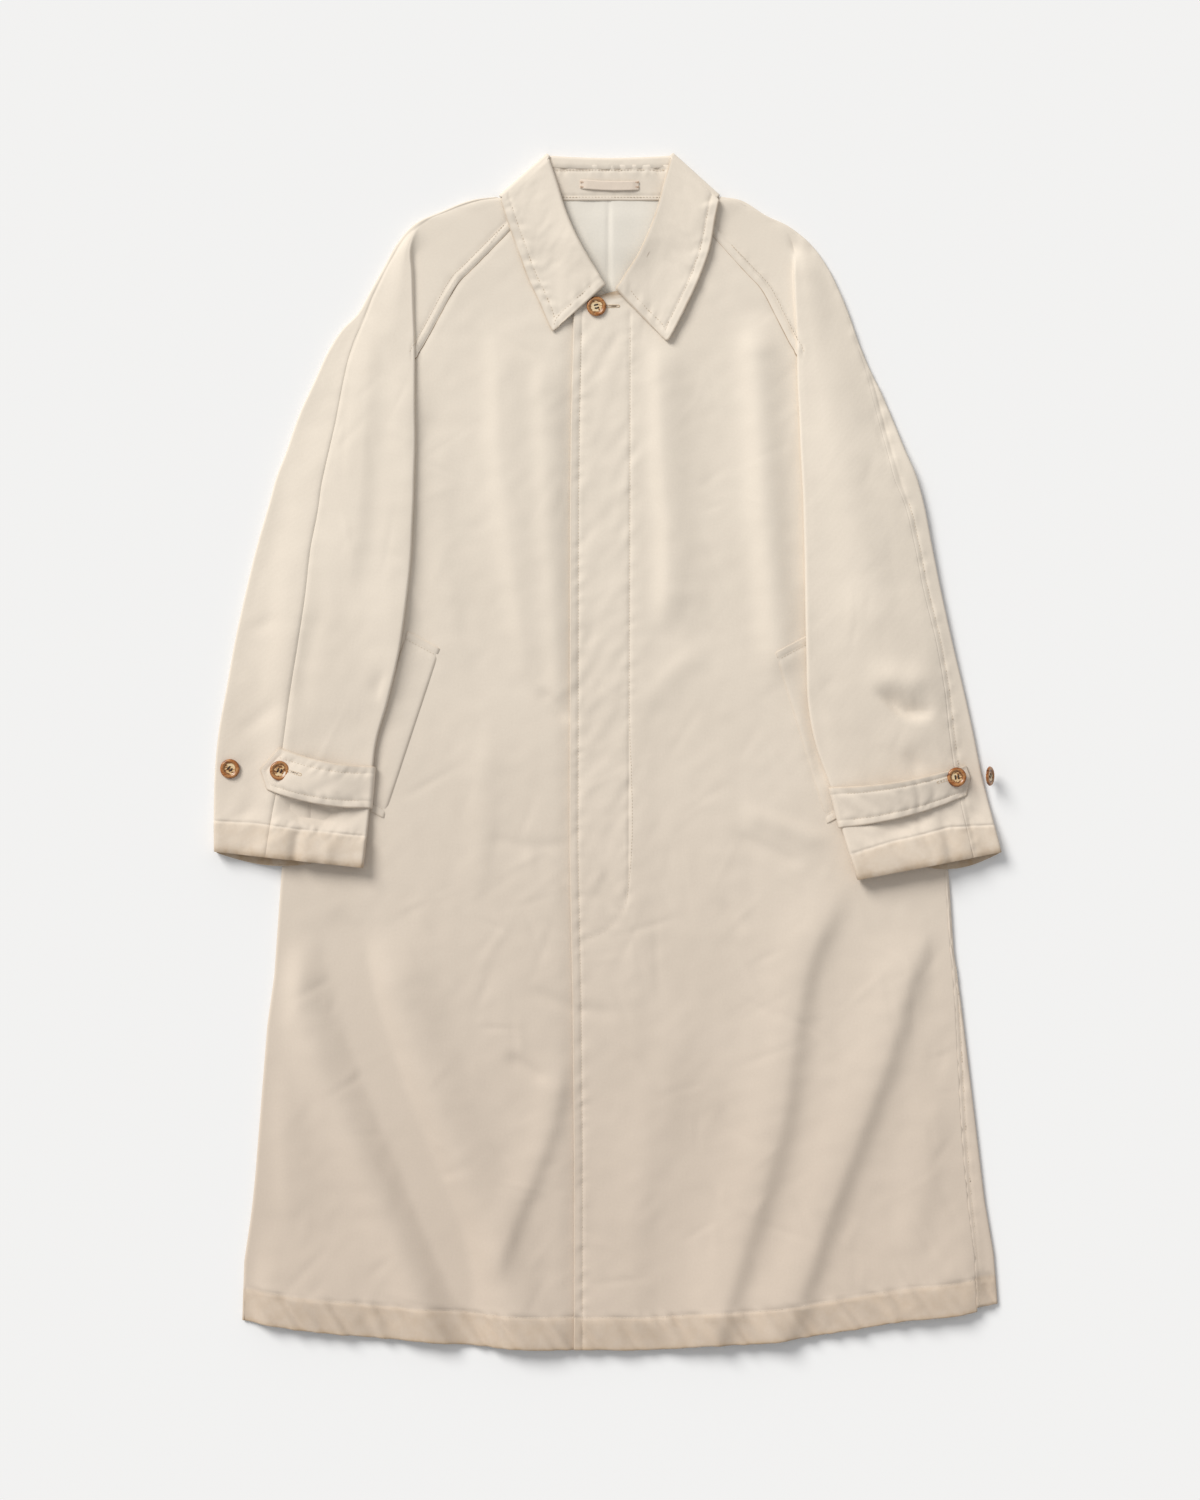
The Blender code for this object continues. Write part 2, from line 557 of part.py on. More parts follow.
def collar_half(side):
    """Front fall of one side: [station, across] from the tuck round the roll to the edge."""
    table = np.array(COLLAR_FRONT[side], float)
    across = np.linspace(0.0, 1.0, 8)
    roll, edge = table[:, None, 0:2], table[:, None, 2:4]
    inward = (edge - roll) / np.linalg.norm(edge - roll, axis=2, keepdims=True)
    start = roll + inward * ROLL_TURN
    fall = start + (edge - start) * across[None, :, None]
    x = SIGN[side] * fall[..., 0]
    fade = 1.0 - soft(np.arange(len(table)) / (len(table) - 1.0) - 0.35) * 0.9
    rise = ROLL_RISE * fade[:, None] * (1.0 - across[None, :]) ** 1.6
    z = on_fronts(x, fall[..., 1]) + rise
    angle = np.linspace(-np.pi / 2, np.pi / 2, 6)[:-1]
    bend = start - inward * (ROLL_TURN * np.cos(angle))[None, :, None]
    bend_z = z[:, :1] - ROLL_TURN + ROLL_TURN * np.sin(angle)[None, :]
    tuck = start + inward * np.array(ROLL_TUCK)[None, :, None]
    tuck_z = np.repeat(z[:, :1] - 2 * ROLL_TURN, len(ROLL_TUCK), axis=1)
    plan = np.concatenate([tuck, bend, fall], axis=1)
    height = np.concatenate([tuck_z, bend_z, z], axis=1)
    return np.stack([SIGN[side] * plan[..., 0], plan[..., 1], height], axis=2)


def collar_turn(side):
    """Half round over the shoulder line, from the front fall to the one behind the neck."""
    peak = np.array(COLLAR_PEAK[side], float)
    across = np.linspace(0.0, 1.0, 8)
    line = peak[None, 0:2] + (peak[2:4] - peak[0:2])[None, :] * across[:, None]
    way = (peak[2:4] - peak[0:2]) / np.linalg.norm(peak[2:4] - peak[0:2])
    outward = np.array([-way[1], way[0]])
    outward = outward * np.sign(outward[1])
    angle = np.linspace(np.pi / 2, -np.pi / 2, 8)
    plan = line[None] - outward * COLLAR_TURN * (1.0 - np.cos(angle))[:, None, None]
    z = COLLAR_WALL / 2 + COLLAR_TURN * (1.0 + np.sin(angle))[:, None] + 0 * across[None, :]
    full = np.concatenate([np.repeat(plan[:, :1], 7, axis=1), plan], axis=1)
    height = np.concatenate([np.repeat(z[:, :1], 7, axis=1), z], axis=1)
    return np.stack([SIGN[side] * full[..., 0], full[..., 1], height], axis=2)


def collar_back():
    """Fall behind the neck, flat on the surface, rolled up over the top edge."""
    x_roll = np.array(BACK_ROLL_X)
    x_edge = np.array(BACK_EDGE_X)
    across = np.linspace(0.0, 1.0, 8)
    x = x_roll[:, None] * (1 - across) + x_edge[:, None] * across
    y = COLLAR_BACK_TOP * (1 - across) + collar_low_y(x_edge)[:, None] * across
    z = np.full(x.shape, COLLAR_WALL / 2)
    angle = np.linspace(np.pi / 2, -np.pi / 2, 6)[:-1]
    top_y = COLLAR_BACK_TOP + BACK_ROLL_TURN * np.cos(angle)
    top_z = COLLAR_WALL / 2 + BACK_ROLL_TURN * (1.0 + np.sin(angle))
    ones = np.ones((len(x_roll), 1))
    full_x = np.concatenate([np.repeat(x_roll[:, None], 7, axis=1), x], axis=1)
    full_y = np.concatenate([ones * np.array(BACK_ROLL_TUCK_Y), ones * top_y, y], axis=1)
    level = COLLAR_WALL / 2 + 2 * BACK_ROLL_TURN
    full_z = np.concatenate([ones * np.array([level, level]), ones * top_z, z], axis=1)
    return np.stack([full_x, full_y, full_z], axis=2)


def collar(mat):
    """One piece: front falls, the turn at each shoulder and the fall behind the neck."""
    parts = [collar_half("right"), collar_turn("right"), collar_back(),
             collar_turn("left")[::-1], collar_half("left")[::-1]]
    grid = np.concatenate(parts, axis=0)
    sizes = np.cumsum([len(p) for p in parts])
    keep = np.ones((len(grid) - 1, grid.shape[1] - 1), bool)
    keep[sizes[0] - 2:sizes[1], :7] = False
    keep[sizes[2] - 1:sizes[3] + 1, :7] = False
    return wall("collar", grid, COLLAR_WALL, mat, keep)


def stand_mid(y):
    """The stand slopes from the roll down to the neck seam."""
    high = COLLAR_WALL / 2 + 2 * BACK_ROLL_TURN
    return STAND_LOW + (high - STAND_LOW) * soft((y - STAND_Y[1] - 1.6) / 30.0)


def collar_stand(mat):
    y = np.linspace(STAND_Y[0], STAND_Y[1], 7)[:, None]
    x = lines(np.full(7, STAND_X[0]), np.full(7, STAND_X[1]), 10)
    x = x + (y - np.mean(STAND_Y)) * STAND_FLARE * (x - LINING_X) / LINING_HALF[0]
    z = stand_mid(y) + 0 * x
    return wall("collar_stand", np.stack([x, y + 0 * x, z], axis=2), TRIM_WALL, mat)


def back_lining(mat):
    """What shows of the lining inside the neck, with its ease pleat at the centre back."""
    y = np.linspace(LINING_Y[0], LINING_Y[1], 8)[:, None]
    half = LINING_HALF[0] + LINING_HALF[1] * soft((LINING_Y[0] - y) / 60.0)
    t = np.linspace(-1.0, 1.0, 10)[None, :]
    x = t * half + LINING_X
    pleat = PLEAT_HEIGHT * np.exp(-(((x - PLEAT_X) / PLEAT_WIDTH) ** 2))
    pleat = pleat * soft((LINING_Y[0] + 10.0 - y) / 30.0)
    z = floor_mid(x, y) + LAYER + LINING_EASE + pleat
    return wall("back_lining", np.stack([x, y + 0 * x, z], axis=2), TRIM_WALL, mat)


def hanger_loop(mat):
    """Strap stitched down at both ends, a little proud between them."""
    t = np.linspace(0.0, 1.0, 10)[None, :]
    v = np.linspace(LOOP_HALF, -LOOP_HALF, 3)[:, None]
    x = LOOP_ENDS[0] + (LOOP_ENDS[1] - LOOP_ENDS[0]) * t + 0 * v
    y = LOOP_Y[0] + (LOOP_Y[1] - LOOP_Y[0]) * t + v
    proud = LOOP_PROUD * soft(t / 0.12) * soft((1 - t) / 0.12)
    z = stand_mid(y) + TRIM_WALL + GAP * 1.5 + proud
    return wall("hanger_loop", np.stack([x, y, z], axis=2), TRIM_WALL, mat)


def pocket_welt(side, mat):
    """Slanted band on the front; the sleeve covers its outer edge."""
    out0, y0, out1, y1 = POCKET[side]
    t = np.linspace(0.0, 1.0, 10)[:, None]
    v = np.linspace(0.0, 1.0, 4)[None, :]
    way = np.array([out1 - out0, y1 - y0]) / np.hypot(out1 - out0, y1 - y0)
    out = out0 + way[0] * WELT_LENGTH * t + WELT_WIDTH * WELT_ACROSS * v
    y = y0 + way[1] * WELT_LENGTH * t + POCKET_TOP_SLOPE * v
    x = SIGN[side] * out
    z = front_mid(x, y) + LAYER + GAP / 3
    return wall("pocket_welt_%s" % side, np.stack([x, y, z], axis=2), CLOTH, mat)


def tab_level(side, out, y):
    """Middle of a tab that lies on the sleeve."""
    return sleeve_top(side, out, y) + LAYER


def cuff_tab(side, mat):
    """Pointed strap over the sleeve, bowed off it, and turned round the sleeve's fold."""
    shape = TAB[side]
    v = np.linspace(0.0, 1.0, 5)
    corner = [np.array(shape[k], float) for k in ("top", "tip", "low")]
    start = np.array([np.interp(v, (0.0, 0.5, 1.0), [p[i] for p in corner]) for i in (0, 1)]).T
    ends = [np.array(shape[k], float) for k in ("top_fold", "low_fold")]
    stop = ends[0][None] * (1 - v[:, None]) + ends[1][None] * v[:, None]
    radius = SLEEVE_RISE / 2 + LAYER
    way = (start - stop) / np.linalg.norm(start - stop, axis=1, keepdims=True)
    rows = sleeve_rows(side)[::-1]
    fold = np.interp(stop[:, 1], rows[:, 3], rows[:, 2])
    centre_out = fold + SLEEVE_RISE / 2
    centre_y = stop[:, 1] + (centre_out - stop[:, 0]) * way[:, 1] / way[:, 0]
    centre = np.stack([centre_out, centre_y], axis=1)
    t = np.linspace(0.0, 1.0, 14)
    flat = start[:, None] * (1 - t)[None, :, None] + centre[:, None] * t[None, :, None]
    flat[..., 1] -= TAB_SAG * (4 * t * (1 - t))[None, :]
    dome = shape["dome"] * np.sin(np.pi * np.clip(t * 1.1 - 0.1, 0, 1)) ** 2
    z = tab_level(side, flat[..., 0], flat[..., 1]) + dome[None, :]
    angle = np.linspace(0.0, np.pi * 0.6, 7)[1:]
    bend = centre[:, None] - way[:, None] * (radius * np.sin(angle))[None, :, None]
    bend_z = z[:, -1:] - radius + radius * np.cos(angle)[None, :]
    plan = np.concatenate([flat, bend], axis=1)
    height = np.concatenate([z, bend_z], axis=1)
    grid = np.stack([SIGN[side] * plan[..., 0], plan[..., 1], height], axis=2)
    return wall("cuff_tab_%s" % side, grid, CLOTH, mat)


def button(name, x, y, z, tilt, mat):
    """Turned disc with a raised rim, a dished middle and four holes."""
    half, high = BUTTON_WIDTH / 2, BUTTON_HEIGHT
    profile = [(0.0, 0.55 * high), (0.6 * half, 0.68 * high), (0.8 * half, high),
               (0.94 * half, 0.9 * high), (half, 0.55 * high), (0.8 * half, 0.0), (0.0, 0.0)]
    shape = bmesh.new()
    ring = [shape.verts.new((r * MM, 0.0, h * MM)) for r, h in profile]
    for a, b in zip(ring, ring[1:]):
        shape.edges.new((a, b))
    bmesh.ops.spin(shape, geom=shape.verts[:] + shape.edges[:], axis=(0, 0, 1), cent=(0, 0, 0),
                   steps=14, angle=2 * np.pi)
    bmesh.ops.remove_doubles(shape, verts=shape.verts[:], dist=0.00001)
    bmesh.ops.recalc_face_normals(shape, faces=shape.faces[:])
    mesh = bpy.data.meshes.new(name)
    shape.to_mesh(mesh)
    shape.free()
    mesh.materials.append(mat)
    obj = bpy.data.objects.new(name, mesh)
    bpy.context.scene.collection.objects.link(obj)
    obj.location = (x * MM, y * MM, z * MM)
    obj.rotation_euler = tilt
    for number in range(4):
        angle = np.pi / 4 + number * np.pi / 2
        drill = bpy.data.meshes.new("%s_hole_%d" % (name, number))
        tool = bmesh.new()
        bmesh.ops.create_cone(tool, cap_ends=True, segments=5, radius1=BUTTON_HOLE * MM,
                              radius2=BUTTON_HOLE * MM, depth=6 * BUTTON_HEIGHT * MM)
        tool.to_mesh(drill)
        tool.free()
        cutter = bpy.data.objects.new(drill.name, drill)
        bpy.context.scene.collection.objects.link(cutter)
        cutter.parent = obj
        out = BUTTON_HOLE_OUT * MM
        cutter.location = (out * np.cos(angle), out * np.sin(angle), 0.0)
        cutter.hide_render = True
        cutter.display_type = "WIRE"
        cut = obj.modifiers.new("hole", "BOOLEAN")
        cut.operation = "DIFFERENCE"
        cut.object = cutter
    return obj


def buttons(mat):
    """The one at the neck and two on each cuff, one of them on the tab."""
    x, y = FRONT_BUTTON
    z = front_mid(np.array(x), np.array(y)) + LAYER + CLOTH / 2 + GAP + BUTTON_EASE
    button("button_front", x, y, float(z), (0.0, 0.0, 0.3), mat)
    for side in ("right", "left"):
        tip = TAB[side]["tip"][0]
        for number, (out, y) in enumerate(CUFF_BUTTONS[side], 1):
            level = sleeve_top(side, np.array(out), np.array(y)) + CLOTH / 2 + GAP + BUTTON_EASE
            if tip - BUTTON_WIDTH * 1.1 < out < tip:
                level = level + LAYER + BUTTON_ON_TAB
            button("cuff_button_%s_%d" % (side, number), SIGN[side] * out, y, float(level),
                   (0.0, SIGN[side] * 0.06, 0.7), mat)


def build():
    for obj in list(bpy.data.objects):
        bpy.data.objects.remove(obj, do_unlink=True)
    cloth = material("gabardine", CLOTH_COLOUR, 0.85)
    collar_cloth = material("collar_gabardine", COLLAR_COLOUR, 0.85)
    lining = material("lining_cotton", LINING_COLOUR, 0.7)
    loop = material("loop_cotton", LOOP_COLOUR, 0.8)
    horn = material("button_horn", HORN_COLOUR, 0.3)
    back(cloth)
    front_right(cloth)
    front_left(cloth)
    for side in ("right", "left"):
        sleeve_front(side, cloth)
        sleeve_back(side, cloth)
        pocket_welt(side, cloth)
        cuff_tab(side, cloth)
    collar(collar_cloth)
    collar_stand(collar_cloth)
    back_lining(lining)
    hanger_loop(loop)
    buttons(horn)


build()
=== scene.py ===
import math

import bpy
import numpy as np
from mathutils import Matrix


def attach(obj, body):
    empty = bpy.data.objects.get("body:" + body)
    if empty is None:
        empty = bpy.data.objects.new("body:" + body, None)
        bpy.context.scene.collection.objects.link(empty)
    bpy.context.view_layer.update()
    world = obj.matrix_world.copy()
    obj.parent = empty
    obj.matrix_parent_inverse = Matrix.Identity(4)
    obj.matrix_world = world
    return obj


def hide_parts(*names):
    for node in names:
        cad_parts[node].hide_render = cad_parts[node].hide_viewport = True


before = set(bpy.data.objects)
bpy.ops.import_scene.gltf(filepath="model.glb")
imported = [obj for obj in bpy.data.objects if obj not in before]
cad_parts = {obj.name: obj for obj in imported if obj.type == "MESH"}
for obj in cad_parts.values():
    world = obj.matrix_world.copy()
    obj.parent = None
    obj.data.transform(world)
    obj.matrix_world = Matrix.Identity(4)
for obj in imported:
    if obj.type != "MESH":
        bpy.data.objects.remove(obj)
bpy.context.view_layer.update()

bl_info = {
    "name": "Balmacaan coat",
    "version": (1, 0, 0),
    "blender": (4, 5, 0),
    "location": "View3D > Sidebar > Coat",
    "description": "Dresses the flat-laid raglan coat in gabardine, with its sewing and buttons",
    "category": "Add Mesh",
}

# Lengths are millimetres until a mesh is made. X runs to the wearer's left, Y to the neck and Z
# up from the surface. "Right" and "left" are the wearer's, and a side's table gives the distance
# out from the centre line.
MM = 0.001
SIGN = {"right": -1.0, "left": 1.0}

# Levels of the layers, as the solids have them
GROUND = 0.6            # middle of the sheet on the surface
LAYER = 1.5             # from one sheet's middle to the next one's
COLLAR_LAYER = 1.8
BODY_RISE = 3.0
BODY_LOFT = 1.2
SLEEVE_RISE = 3.8
DRAPE = 40.0
UNDERARM_Y = 271.0
HEM_Y = -597.0
HEM_DROP_FROM = -449.0
PANEL_TOP = 546.0
BACK_SHORT = 3.0        # how far the back ends above the fronts at the hem
UNDERLAP_X = 22.5
HEM_DEPTH = 32.0        # from the hem's edge up to its stitching
EDGE_STITCH = 8.0       # from an edge or seam to its topstitching
ARM_STITCH = 4.5        # from the left overarm seam to its topstitching
CUFF_GAP = 8.5          # how far a cuff's upper layer stands open
STEP_TOP = {"right": 530.0, "left": 506.0}
SEAM_ROW = 8
# How a sleeve swells: times the puff, where its crest lies from the outer edge, and its fall
SLEEVE_SWELL = {"right": (0.95, 0.5, 0.5), "left": (2.4, 0.45, 0.5)}

# The body's outline, all as (out, y) from the top down
SIDE_EDGE = {
    "right": [(289.5, 271), (325.5, -124), (332.5, -224), (339.5, -274), (351.5, -424),
              (356.5, -474), (362.5, -524), (364.5, -597)],
    "left": [(294, 271), (340.5, -124), (345.5, -199), (352.5, -249), (364.5, -349),
             (376.5, -449), (385.5, -524), (389.5, -597)],
}
UNDERARM_SEAM = {"right": [(190.5, 393), (289.5, 271)], "left": [(188.5, 395), (294, 271)]}
# How far in from the side fold the side seam lies, with the height
SIDE_SEAM = [(3.0, 271), (3.0, -210), (15.0, -389), (20.0, -559), (21.0, -597)]
# The left front's edge, the stitching that holds the fly and both necklines, as (x, y)
FLY_EDGE = [(-33, 448), (-36.1, 323), (-36.9, 252), (-37.5, -99), (-34.5, -249), (-33, -409),
            (-33, -597)]
FLY_STITCH = [(22.5, 440), (22.3, 251), (21.6, 60), (21.0, -133), (18.4, -152), (12.5, -164),
              (5.0, -173), (-3.5, -180), (-13.0, -185), (-25.0, -188.5)]
NECKLINE = {
    "right": [(-65.5, 546), (-59.5, 519), (-49.5, 496), (-33.5, 476), (-17.5, 463),
              (4.5, 455), (22.5, 451)],
    "left": [(69.5, 546), (63.5, 519), (53.5, 496), (38.5, 476), (22.5, 463), (0.5, 457),
             (-22.5, 451), (-33, 448)],
}
# The hem's edge from the right side to the left, as (x, y)
HEM = [(-365.5, -568), (-317.5, -576), (-242.5, -584), (-167.5, -590), (-92.5, -596),
       (-7.5, -597), (44.5, -597), (97.5, -593), (157.5, -590), (201.5, -584), (257.5, -575),
       (306.5, -567), (332.5, -565), (387.5, -556)]

# A sleeve's sections from the neck to the cuff: outer edge, inner fold, raglan seam, each as
# (out, y), then the overarm seam's distance in from the outer edge and the width turned under
SLEEVE = {
    "right": [
        (112.0, 553.0, 106.0, 552.1, 70.0, 546.6, 4.5, 0),
        (133.5, 550.5, 127.5, 549.0, 80.5, 536.5, 4.5, 0),
        (167.5, 538.0, 160.5, 536.0, 97.5, 520.0, 2.5, 0),
        (192.5, 526.0, 185.5, 523.5, 116.5, 500.5, 2.5, 0),
        (209.5, 507.0, 195.5, 502.0, 137.5, 479.0, 2.5, 0),
        (222.5, 484.0, 194.5, 476.0, 151.0, 465.0, 2.5, 0),
        (236.5, 459.0, 193.5, 438.5, 171.5, 427.5, 4, 0),
        (249.5, 436.0, 192.5, 412.0, 183.5, 406.0, 9, 0),
        (264.5, 421.0, 192.5, 394.0, 190.5, 393.0, 15, 0),
        (277.5, 401.0, 192.5, 366.0, 192.5, 366.0, 21, 0),
        (291.5, 371.0, 192.5, 339.0, 192.5, 339.0, 28, 0),
        (307.5, 336.0, 192.0, 310.0, 192.0, 310.0, 37, 0),
        (321.5, 296.0, 193.0, 271.0, 193.0, 271.0, 42, 0),
        (330.5, 273.0, 193.5, 250.0, 193.5, 250.0, 46, 103),
        (336.5, 251.0, 194.5, 229.0, 194.5, 229.0, 49, 103),
        (349.5, 206.0, 196.5, 189.0, 196.5, 189.0, 53.5, 100),
        (360.5, 161.0, 201.5, 143.0, 201.5, 143.0, 59.5, 94.5),
        (371.5, 111.0, 208.5, 96.0, 208.5, 96.0, 63, 88),
        (380.5, 61.0, 219.5, 49.0, 219.5, 49.0, 64, 77),
        (388.5, 16.0, 231.5, 6.0, 231.5, 6.0, 66, 65),
        (392.0, -24.0, 236.0, -39.0, 236.0, -39.0, 64, 60),
        (392.8, -64.0, 239.5, -78.0, 239.5, -78.0, 57.6, 57),
        (392.3, -100.0, 243.5, -116.0, 243.5, -116.0, 52.2, 53)],
    "left": [
        (114.0, 553.0, 108.0, 552.0, 76.0, 546.2, 4.5, 0),
        (132.5, 550.0, 126.5, 548.5, 86.5, 534.5, 4.5, 0),
        (157.5, 535.0, 151.5, 533.0, 104.5, 515.0, 2.5, 0),
        (180.5, 524.0, 174.5, 521.5, 123.5, 494.0, 2.5, 0),
        (204.5, 504.0, 185.5, 497.0, 140.5, 475.5, 2.5, 0),
        (219.5, 483.0, 186.0, 472.0, 155.5, 459.0, 2.5, 0),
        (230.5, 461.0, 187.5, 441.0, 171.5, 428.0, 2.5, 0),
        (240.5, 437.0, 189.0, 415.0, 182.0, 407.5, 2.5, 0),
        (249.5, 411.0, 189.5, 395.0, 188.5, 395.0, 2.5, 0),
        (259.5, 386.0, 190.0, 366.0, 190.0, 366.0, 3.5, 0),
        (272.5, 359.0, 191.5, 339.0, 191.5, 339.0, 9, 0),
        (285.5, 329.0, 192.5, 310.0, 192.5, 310.0, 14, 0),
        (297.5, 299.0, 194.5, 271.0, 194.5, 271.0, 18, 0),
        (307.5, 276.0, 195.5, 250.0, 195.5, 250.0, 22, 106),
        (314.5, 251.0, 196.0, 229.0, 196.0, 229.0, 19, 106),
        (323.5, 206.0, 197.0, 189.0, 197.0, 189.0, 17, 108.5),
        (332.5, 161.0, 197.5, 143.0, 197.5, 143.0, 17, 112.5),
        (343.5, 111.0, 198.5, 96.0, 198.5, 96.0, 16, 115),
        (355.5, 61.0, 200.5, 47.0, 200.5, 47.0, 19, 115),
        (365.5, 16.0, 208.5, 5.0, 208.5, 5.0, 24, 110),
        (373.5, -24.0, 224.5, -41.0, 224.5, -41.0, 26, 93),
        (383.5, -64.0, 235.5, -83.0, 235.5, -83.0, 28, 84),
        (392.8, -100.5, 249.0, -128.0, 249.0, -128.0, 29, 73)],
}

# Folds given one by one: height (below 0 for a trough), width to the left and to the right of its
# line as one walks along it, and the line's points
BODY_FOLDS = [
    (4.2, 14, 28, [(-197, 400), (-199, 250), (-205, 150), (-216, 70), (-226, 20)]),
    (-3.2, 14, 8, [(200, 70), (207, 20), (216, -40)]),
    (4.4, 32, 14, [(-116, 441), (-110, 409), (-106, 301), (-96, 211), (-84, 120), (-76, 60)]),
    (3.4, 18, 12, [(-66, 400), (-60, 300), (-56, 200), (-50, 100), (-46, 31)]),
    (-2.4, 5, 8, [(-72, 66), (-53, 46), (-37, 26)]),
    (2.2, 18, 24, [(-172, 330), (-168, 240), (-160, 150), (-150, 60)]),
    (1.6, 14, 14, [(-120, 20), (-124, -60), (-130, -150)]),
    (-1.1, 6, 8, [(-120, -86), (-72, -96), (-30, -90)]),
    (-1.3, 5, 8, [(-76, -98), (-54, -114), (-34, -134)]),
    (-7.4, 20, 26, [(-268, -150), (-250, -235), (-218, -340), (-182, -430), (-150, -520),
                    (-124, -660)]),
    (7.6, 24, 20, [(-322, -180), (-302, -270), (-262, -370), (-222, -460), (-190, -540),
                   (-150, -660)]),
    (7.0, 30, 21, [(-226, -170), (-198, -270), (-158, -370), (-118, -470), (-66, -650)]),
    (2.5, 26, 14, [(-330, -300), (-322, -400), (-312, -500)]),
    (4.0, 10, 20, [(-44, -300), (-60, -382), (-99, -480), (-118, -540)]),
    (-2.2, 6, 8, [(-104, -302), (-84, -314), (-58, -332)]),
    (-1.4, 7, 8, [(-82, -236), (-36, -256), (14, -262)]),
    (6.0, 24, 13, [(52, 430), (56, 300), (62, 200), (58, 110)]),
    (7.0, 20, 16, [(146, 440), (153, 330), (158, 240), (166, 150), (176, 60)]),
    (1.8, 10, 14, [(30, 36), (62, 76), (100, 108)]),
    (2.4, 9, 12, [(130, -56), (178, -76), (226, -94)]),
    (-1.6, 7, 9, [(120, -82), (160, -98), (198, -116)]),
    (-1.6, 7, 9, [(108, -142), (140, -184)]),
    (-1.4, 10, 14, [(104, -346), (146, -394)]),
    (7.0, 15, 34, [(234, -120), (218, -164), (198, -210), (184, -284), (170, -375),
                   (148, -452), (120, -539), (92, -650)]),
    (7.4, 14, 34, [(330, -160), (304, -214), (282, -291), (254, -368), (219, -459),
                   (191, -539), (156, -650)]),
    (2.6, 16, 22, [(330, -330), (316, -420), (296, -520)]),
    (2.2, 20, 26, [(70, -240), (58, -330), (36, -430), (20, -520)]),
]
# Height of the hem off the sheet under it
HEM_LIFT = [(-365, 6.5), (-300, 8.0), (-215, 3.0), (-105, 5.5), (12, 4.5), (80, 3.5),
            (145, 5.5), (200, 3.5), (250, 5.0), (345, 8.0), (390, 6.5)]
SLEEVE_FOLDS = {
    "right": [
        (3.0, 14, 30, [(-240, 440), (-243, 330), (-250, 240), (-262, 140)]),
        (2.0, 16, 22, [(-318, 220), (-326, 120), (-334, 30)]),
        (-1.4, 10, 12, [(-284, 150), (-300, 90), (-306, 40)]),
        (-1.5, 6, 8, [(-374, 18), (-348, 32), (-326, 56)]),
        (-1.2, 6, 7, [(-362, 118), (-326, 134)]),
        (-2.0, 6, 9, [(-221, 84), (-228, 64), (-233, 44)]),
        (1.8, 18, 18, [(-300, -60), (-330, 10), (-350, 60)]),
        (-4.0, 11, 12, [(-338, -46), (-306, -60), (-258, -66)]),
        (-3.6, 6, 6, [(-306, -72), (-310, -92), (-313, -128)]),
        (-4.0, 14, 14, [(-322, -36), (-296, -60), (-262, -72)]),
        (1.6, 7, 6, [(-276, -84), (-279, -104), (-282, -130)]),
        (-2.0, 9, 12, [(-170, 536), (-150, 512), (-146, 490)]),
        (-1.6, 8, 9, [(-120, 530), (-106, 520), (-92, 512)]),
    ],
    "left": [
        (3.0, 30, 26, [(215, 430), (232, 320), (252, 190), (262, 90)]),
        (-1.8, 14, 18, [(252, 300), (274, 220), (292, 130)]),
        (-6.6, 13, 4.0, [(262, 62), (274, 54), (298, 37), (312, 36), (330, 46)]),
        (4.2, 14, 13, [(256, 84), (296, 68), (332, 78)]),
        (2.0, 16, 16, [(262, 5), (300, 12), (336, 10)]),
        (-3.2, 8, 10, [(170, 512), (182, 503), (192, 492)]),
        (-2.0, 7, 10, [(126, 538), (134, 520), (146, 508)]),
        (-3.2, 9, 10, [(330, -62), (306, -72), (262, -86)]),
        (-3.6, 10, 6, [(330, -52), (338, -80), (344, -128)]),
        (-1.8, 8, 9, [(300, 8), (306, -12), (304, -34)]),
    ],
}

# The collar's leaves from the front corner to the shoulder: the roll and the outer edge, each
# as (out, y); the peak is the same at the shoulder line
COLLAR_FRONT = {
    "right": [(2.5, 465, 51.5, 421.5), (6.0, 470, 54.0, 419.6), (10.0, 477, 57.2, 423.5),
              (17.5, 489, 66.5, 445), (32.5, 516, 79.5, 473), (43.5, 543, 89.5, 501),
              (50.5, 566, 99.5, 529), (58.5, 590, 105.5, 548)],
    "left": [(8.5, 461, 56.5, 411.6), (13.5, 468, 59.6, 409.8), (19.0, 477, 63.5, 415),
             (29.5, 493, 82.5, 453), (40.5, 516, 94.5, 481), (50.5, 543, 102.5, 506),
             (56.5, 566, 106.5, 529), (63.5, 590, 110.5, 548)],
}
COLLAR_PEAK = {"right": (60.5, 596.0, 107.5, 555.0), "left": (65.5, 596.5, 111.5, 555.0)}
COLLAR_TURN = 3.8       # radius of the bend over the shoulder line
BACK_ROLL_TURN = 2.6    # radius of the roll behind the neck
BACK_TOP_Y = 591.4
BACK_ROLL_X = (-58.0, -42.0, -20.0, 0.0, 20.0, 44.0, 63.0)
BACK_EDGE_X = (-92.0, -66.0, -33.0, 0.0, 33.0, 66.0, 96.0)

# A pocket's mouth: (out, y) of its upper and lower end
POCKET = {"right": (167.5, 102.0, 224.0, -69.0), "left": (167.5, 98.0, 217.5, -66.0)}
POCKET_TOP_SLOPE = 17.0
WELT_LENGTH = 178.0
WELT_ACROSS = 31.7
# A cuff tab: (out, y) of its point, its corners and where its edges meet the sleeve's fold
TAB = {
    "right": {"tip": (346.5, -18), "top": (326.5, 3), "low": (339.5, -38),
              "top_fold": (229.0, -17), "low_fold": (235.0, -57)},
    "left": {"tip": (361.5, -25.5), "top": (357.5, -15), "low": (357.5, -44),
             "top_fold": (222.0, -37), "low_fold": (233.0, -76)},
}
